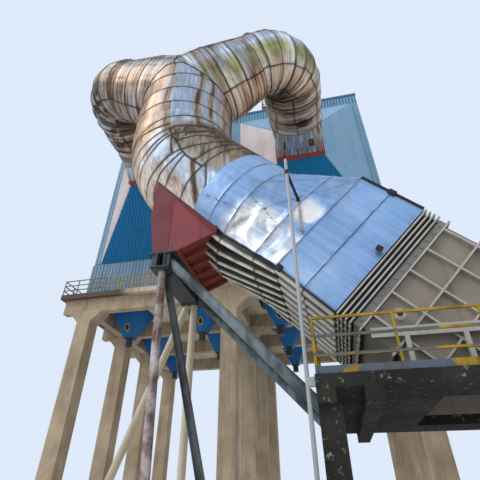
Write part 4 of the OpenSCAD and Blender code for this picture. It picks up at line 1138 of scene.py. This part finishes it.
for i in range(13):
    v = HOOD_LIFT - 1.68 + 0.28 * i
    for k in (-1, 1):
        joint_bolts.bolt(slope_point(JOINT_END - 0.15, k * 2.135, v), (0, k, 0), 0.032, 0.03)
bellows.make("joint_bellows", "tar_black", "plate_grey")
rims.make("joint_rims", "rim_pale", "plate_grey")
clamps.make("joint_clamps", "rim_pale", "plate_grey")
joint_bolts.make("joint_bolts", "flange_grey", "plate_grey")

# Flashing and clamps on the hood's edges, a lamp, the stay with its lug and wrap, and a port with a flange
dark, lamp, port = Part(), Part(), Part()
for k in (-1, 1):
    for s0, s1, out, back, v0, v1 in (
        (HOOD_START, HOOD_END - 0.01, 0.025, 0.05, HIGH_V - 0.055, HIGH_V + 0.025),
        (8.46, 8.68, 0.06, 0.04, HIGH_V - 0.10, HIGH_V + 0.055),
        (7.60, 7.76, 0.07, 0.03, LOW_V - 0.09, LOW_V + 0.10),
    ):
        slope_box(dark, s0, s1, k * (RISER_R + out), k * (RISER_R - back), v0, v1)
slope_box(dark, 9.34, 9.39, -RISER_R - 0.08, -RISER_R + 0.01, 0.44, 0.50)
slope_box(lamp, 9.31, 9.45, -RISER_R - 0.17, -RISER_R - 0.06, 0.41, 0.54)
slope_box(dark, 9.30, 9.46, -RISER_R - 0.19, -RISER_R - 0.165, 0.40, 0.55)
dark.tube([(4.76, -13.16, 8.99), (4.95, -12.17, 8.82)], 0.042)
dark.box((4.90, -12.19, 8.76), (5.00, -12.12, 8.88), 0.01)
dark.tube([(4.75, -13.21, 8.93), (4.75, -13.21, 9.07)], 0.062, 16)
PORT_S, PORT_V, PORT_BOLTS = 10.68, -0.66, 0.117
for part, w0, w1, r in ((port, -2.06, -2.30, 0.10), (port, -2.24, -2.275, 0.135), (dark, -2.29, -2.306, 0.07)):
    part.tube([slope_point(PORT_S, w, PORT_V) for w in (w0, w1)], r, 20)
for a in turns(6):
    at = slope_point(PORT_S + PORT_BOLTS * math.cos(a), -2.275, PORT_V + PORT_BOLTS * math.sin(a))
    port.bolt(at, (0, -1, 0), 0.013, 0.014)
dark.make("duct_fittings", "tar_black", "dark_steel")
lamp.make("lamp_box", "flange_grey", "plate_grey")
port.make("duct_port", "rim_pale", "plate_grey")


# ---------------------------------------------------------------- small parts of the supports

# Front legs: a tube and an open rolled section, on bolted plates
PLATE_T = 0.04


def leg(finish, name, sections, out, y, smooth):
    """Leg with level sections, from its plate on the ground, out to the side, to the girder's underside."""
    part = Part()
    x = GIRDER_X + out
    for section in sections:
        part.stack([(x + a, y + b, PLATE_T) for a, b in section],
                   [(GIRDER_X + a, y + b, GIRDER_LOW) for a, b in section])
    part.box((x - 0.225, y - 0.225, 0.0), (x + 0.225, y + 0.225, PLATE_T), 0.006)
    part.bolts_at_corners(x, y, 0.17, 0.17, PLATE_T, 1, 0.03, 0.03)
    part.make(name, finish, "leg_rust", replaces=("trestle_front_legs",), smooth=smooth)


leg("leg_rust", "front_leg_tube", [[(0.125 * math.cos(a), 0.125 * math.sin(a)) for a in turns(32)]],
    0.38, FRAME_YS[0], True)
leg("leg_dark", "front_leg_section", [rect(-0.09, -0.074, -0.10, 0.10), rect(0.074, 0.09, -0.10, 0.10),
                                      rect(-0.075, 0.075, -0.01, 0.01)], 2.02, FRAME_YS[0] + 0.36, False)

# Rims along the saddle's lower edges, and a line of plate laid over the joint of its front and back plates
rim = Part()
for y in (DUCT_Y - 1.6, DUCT_Y + 1.6):
    rim.beam((0.96, y, 7.94), (2.25, y, 8.485), 0.02, 0.06)
    rim.beam((2.235, y, 8.50), (2.235, y, 8.74), 0.02, 0.05, (1, 0, 0))
    rim.beam((0.62, y, 7.93), (0.62, y, 10.15), 0.014, 0.035, (1, 0, 0))
    rim.beam((-0.10, y, 11.009), (2.10, y, 8.487), 0.014, 0.035)
rim.make("saddle_rims", "red_oxide", "red_oxide")

# Bolted plates where the legs and struts meet the girder, and stiffeners between its flanges
heads = Part()
HEAD_Z, FLANGE_T, GIRDER_HALF = GIRDER_LOW - 0.03, 0.04, 0.30
for y in FRAME_YS:
    heads.box((GIRDER_X - GIRDER_HALF, y - 0.24, HEAD_Z),
              (GIRDER_X + GIRDER_HALF, y + 0.24, GIRDER_LOW), 0.004)
    heads.bolts_at_corners(GIRDER_X, y, 0.26, 0.20, HEAD_Z, -1, 0.028, 0.03)
    for x in (GIRDER_X - 0.44, GIRDER_X + 0.44):
        for j in (-0.18, 0.0, 0.18):
            heads.bolt((x, y + j, GIRDER_TOP - FLANGE_T), (0, 0, -1), 0.022, 0.025)
for i in range(6):
    y = FRAME_YS[0] - 0.2 + 0.64 * i
    for x0, x1 in ((GIRDER_X - GIRDER_HALF, GIRDER_X - 0.155), (GIRDER_X + 0.155, GIRDER_X + GIRDER_HALF)):
        heads.box((x0, y - 0.01, GIRDER_LOW + FLANGE_T), (x1, y + 0.01, GIRDER_TOP - FLANGE_T))
heads.make("girder_plates", "dark_steel", "dark_steel")

# Inspection ports low on the hoppers' outer faces
ports, holes = Part(), Part()
OUTLET_HALF, HOPPER_DEPTH = 0.3, 4.68
TILT = (2.11665 - OUTLET_HALF) / HOPPER_DEPTH
HOPPER_XS, HOPPER_Y = (-7.725, -2.575, 2.575, 7.725), CASING_L / 6
for x in HOPPER_XS:
    for y, d in ((HOPPER_Y, -1), (CASING_L - HOPPER_Y, 1)):
        out = Vector((0, d, -TILT)).normalized()
        up = Vector((0, d * TILT, 1)).normalized()
        middle = Vector((x, y + d * (OUTLET_HALF + TILT * 0.6), 10.9))

        def oval(half_w, half_h, n):
            return [middle + Vector((1, 0, 0)) * (half_w * math.cos(a)) + up * (half_h * math.sin(a))
                    for a in turns(n)]

        rim_points = oval(0.19, 0.29, 20)[::-d]
        hole = [middle + (p - middle) * 0.62 for p in rim_points]
        ports.stack([p - out * 0.005 for p in rim_points], [p + out * 0.05 for p in rim_points])
        holes.stack([p + out * 0.04 for p in hole], [p + out * 0.056 for p in hole])
        for at in oval(0.155, 0.24, 8):
            ports.bolt(at + out * 0.05, out, 0.014, 0.014)
ports.make("hopper_ports", "port_ochre", "hopper_blue")
holes.make("hopper_port_holes", "tar_black", "hopper_blue")


# ---------------------------------------------------------------- carried-over nodes

# Finish of the nodes that don't have the one which their slot is named after
OWN_FINISH = {
    "casing_roof": "band_blue", "casing_floor": "band_blue",
    "deck_slab": "deck_top", "deck_railing": "deck_rail",
    "expansion_joint": "flange_grey", "plate_duct_ribs": "rib_grey", "plate_duct_stringers": "rib_grey",
    "duct_rest": "rib_grey", "standpipe": "pole_grey", "platform_railing": "platform_rail",
}
for row in frame["record"]["subparts"]:
    materials = frame["nodes"][row["node"]].data.materials
    for i in range(len(materials)):
        materials[i] = MAT[OWN_FINISH.get(row["node"], row["material_slot"])]


# ---------------------------------------------------------------- ribbed sheets

def ribs_on(part, corners, run, out, pitch, foot=0.10, crown=0.045, height=0.035, margin=0.02):
    """Trapezoid ribs on a convex plane outline, along run, standing out along out."""
    run, out = Vector(run).normalized(), Vector(out).normalized()
    across = run.cross(out).normalized()
    origin = Vector(corners[0])
    flat = [((Vector(c) - origin).dot(across), (Vector(c) - origin).dot(run)) for c in corners]
    low, high = min(p[0] for p in flat), max(p[0] for p in flat)
    count = int((high - low - 2 * margin) // pitch)
    begin = (low + high) / 2 - count * pitch / 2

    def limits(x):
        hits = [y0 + (y1 - y0) * (x - x0) / (x1 - x0) for (x0, y0), (x1, y1) in zip(flat, flat[1:] + flat[:1])
                if (x0 - x) * (x1 - x) <= 0 and abs(x1 - x0) > 1e-9]
        return (min(hits) + margin, max(hits) - margin) if len(hits) >= 2 else (0.0, 0.0)

    for i in range(count + 1):
        x = begin + i * pitch
        stations = [(x - foot / 2, -0.004), (x - crown / 2, height), (x + crown / 2, height),
                    (x + foot / 2, -0.004)]
        spans = [limits(station[0]) for station in stations]
        if all(span[1] - span[0] >= 0.15 for span in spans):
            part.stack(*([origin + across * s[0] + run * span[end] + out * s[1]
                          for s, span in zip(stations, spans)] for end in (0, 1)))


def wall_ribs(part, p, q, z0, z1, out):
    """Upright ribs on a wall between two points of the plan."""
    ribs_on(part, [(*p, z0), (*q, z0), (*q, z1), (*p, z1)], (0, 0, 1), out, 0.25)


front, band, roof, sides, skirt = Part(), Part(), Part(), Part(), Part()
BESIDE_HORNS = ((-CASING_HALF, -HORN_OUT), (-HORN_IN, HORN_IN), (HORN_OUT, CASING_HALF))
for x0, x1 in BESIDE_HORNS:
    wall_ribs(front, (x0, 0), (x1, 0), BASE, HORN_TOP, (0, -1, 0))
front.make("front_wall_ribs", "casing_blue", "casing_blue")
for y, d in ((0, -1), (CASING_L, 1)):
    wall_ribs(band, (-CASING_HALF, y), (CASING_HALF, y), HORN_TOP, ROOF_LOW, (0, d, 0))
band.make("top_band_ribs", "band_blue", "casing_blue")
roof_low, roof_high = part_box("casing_roof")
(x0, y0, _), (x1, y1, z1) = roof_low - SHIFT, roof_high - SHIFT
# Round the roof box and its railing
for a, b, c, d in ((x0, x1, 1.65, y1), (x0, 2.35, y0, 1.65), (4.05, x1, y0, 1.65)):
    ribs_on(roof, [(x, y, z1) for x, y in rect(a, b, c, d)], (0, 1, 0), (0, 0, 1), 0.5, 0.08, 0.03, 0.04)
roof.make("roof_ribs", "band_blue", "casing_blue")
for k in (-1, 1):
    x = k * CASING_HALF
    wall_ribs(sides, (x, 0.02), (x, CASING_L - 0.02), BASE, ROOF_LOW, (k, 0, 0))
for x0, x1 in BESIDE_HORNS:
    wall_ribs(sides, (x0, CASING_L), (x1, CASING_L), BASE, HORN_TOP, (0, 1, 0))
sides.make("side_wall_ribs", "casing_blue", "casing_blue")
SKIRT_OUT, SKIRT_LOW, SKIRT_HIGH = 0.05, 12.32, 14.96
y0, y1 = -SKIRT_OUT, CASING_L + SKIRT_OUT
for y, d in ((y0, -1), (y1, 1)):
    x = CASING_HALF + SKIRT_OUT
    wall_ribs(skirt, (-x, y), (x, y), SKIRT_LOW, SKIRT_HIGH, (0, d, 0))
for k in (-1, 1):
    x = k * (CASING_HALF + SKIRT_OUT)
    wall_ribs(skirt, (x, y0), (x, y1), SKIRT_LOW, SKIRT_HIGH, (k, 0, 0))
skirt.make("skirt_ribs", "skirt_pale", "skirt_pale")


def horn_faces(side, rear):
    """Name, corner points and outward direction of the four sloping faces of a horn."""
    half = MOUTH_W / 2
    xs = ((side * HORN_IN, side * (MOUTH_X - half)), (side * HORN_OUT, side * (MOUTH_X + half)))
    zs = ((BASE, MOUTH_Z - half), (HORN_TOP, MOUTH_Z + half))
    ys = (CASING_L, CASING_L + HORN_L) if rear else (0.0, -HORN_L)
    middle = Vector((side * MOUTH_X, (ys[0] + ys[1]) / 2, 21))
    for key, a, b in (("low", (0, 0), (1, 0)), ("top", (0, 1), (1, 1)), ("inner", (0, 0), (0, 1)),
                      ("outer", (1, 0), (1, 1))):
        # From the wall's edge to the mouth's edge: 0 is at the wall and 1 at the mouth
        points = [Vector((xs[i][end], ys[end], zs[j][end]))
                  for (i, j), end in ((a, 0), (b, 0), (b, 1), (a, 1))]
        normal = (points[1] - points[0]).cross(points[2] - points[0]).normalized()
        yield key, points, normal if normal.dot(points[0] - middle) >= 0 else -normal


def sheet_on(part, points, normal, thick=0.012, inset=0.03):
    """Thin sheet on a plane face, a little smaller than it."""
    centre = sum(points, Vector()) / len(points)
    low = [p + (centre - p).normalized() * inset - normal * 0.003 for p in points]
    high = [p + normal * (thick + 0.003) for p in low]
    if (low[1] - low[0]).cross(low[2] - low[0]).dot(normal) < 0:
        low, high = low[::-1], high[::-1]
    part.stack(low, high)


# Each horn face's finish paints how the sun fell on it: painted sunlight on the faces turned to the left,
# painted shade on the downward, top and right-facing ones, and the wall's blue as painted shade on the left
# horn's inner face.
FACE_FINISH = {
    (-1, "low"): "horn_blue", (-1, "inner"): "casing_blue",
    (-1, "outer"): "horn_sunlit_pale", (-1, "top"): "horn_shaded_grey",
    (1, "low"): "horn_blue", (1, "inner"): "horn_sunlit_pale",
    (1, "outer"): "horn_shaded_grey", (1, "top"): "horn_shaded_grey",
}
horn_sheets = {}
for rear in (False, True):
    for side, _ in SIDES:
        for key, points, normal in horn_faces(side, rear):
            part = horn_sheets.setdefault(FACE_FINISH[side, key], Part())
            sheet_on(part, points, normal)
            run = normal.cross((points[1] - points[0]).normalized()) if key in ("low", "top") else (0, 0, 1)
            ribs_on(part, [p + normal * 0.012 for p in points], run, normal, 0.24, margin=0.05)
for finish, part in horn_sheets.items():
    part.make("horn_sheets_" + finish, finish, "casing_blue" if finish == "casing_blue" else "horn_blue")


# ---------------------------------------------------------------- floor and world

FLOOR_HALF = 400
floor_mesh = bpy.data.meshes.new("floor")
floor_mesh.from_pydata([(x, y, 0) for x, y in rect(-FLOOR_HALF, FLOOR_HALF, -FLOOR_HALF, FLOOR_HALF)], [],
                       [(0, 1, 2, 3)])
floor = add_object("floor", floor_mesh)
floor.location.z = -0.002
ground = Shader("floor_pale", 0.9)
pale = ground.mix(ground.noise(ground.object, 0.05, 2), "e3e4e5", "e9eaeb")
floor_mesh.materials.append(ground.finish(pale))

# Light from all around, and a pale backdrop where the camera or a reflection meets the sky
world = bpy.data.worlds.new("world")
scene.world = world
world.use_nodes = True
sky = Nodes(world.node_tree)
rays = sky.add("LightPath").outputs
seen = sky.math("MAXIMUM", sky.math("MAXIMUM", rays["Is Camera Ray"], rays["Is Glossy Ray"]),
                rays["Is Transmission Ray"])
light = sky.add("Background", {"Color": (0.90, 0.95, 1.0, 1), "Strength": 0.58})
backdrop = sky.add("Background", {"Color": rgb("dfeafa"), "Strength": 1.0})
blend = sky.add("MixShader", {0: seen, 1: light.outputs[0], 2: backdrop.outputs[0]})
sky.add("OutputWorld", {0: blend.outputs[0]})
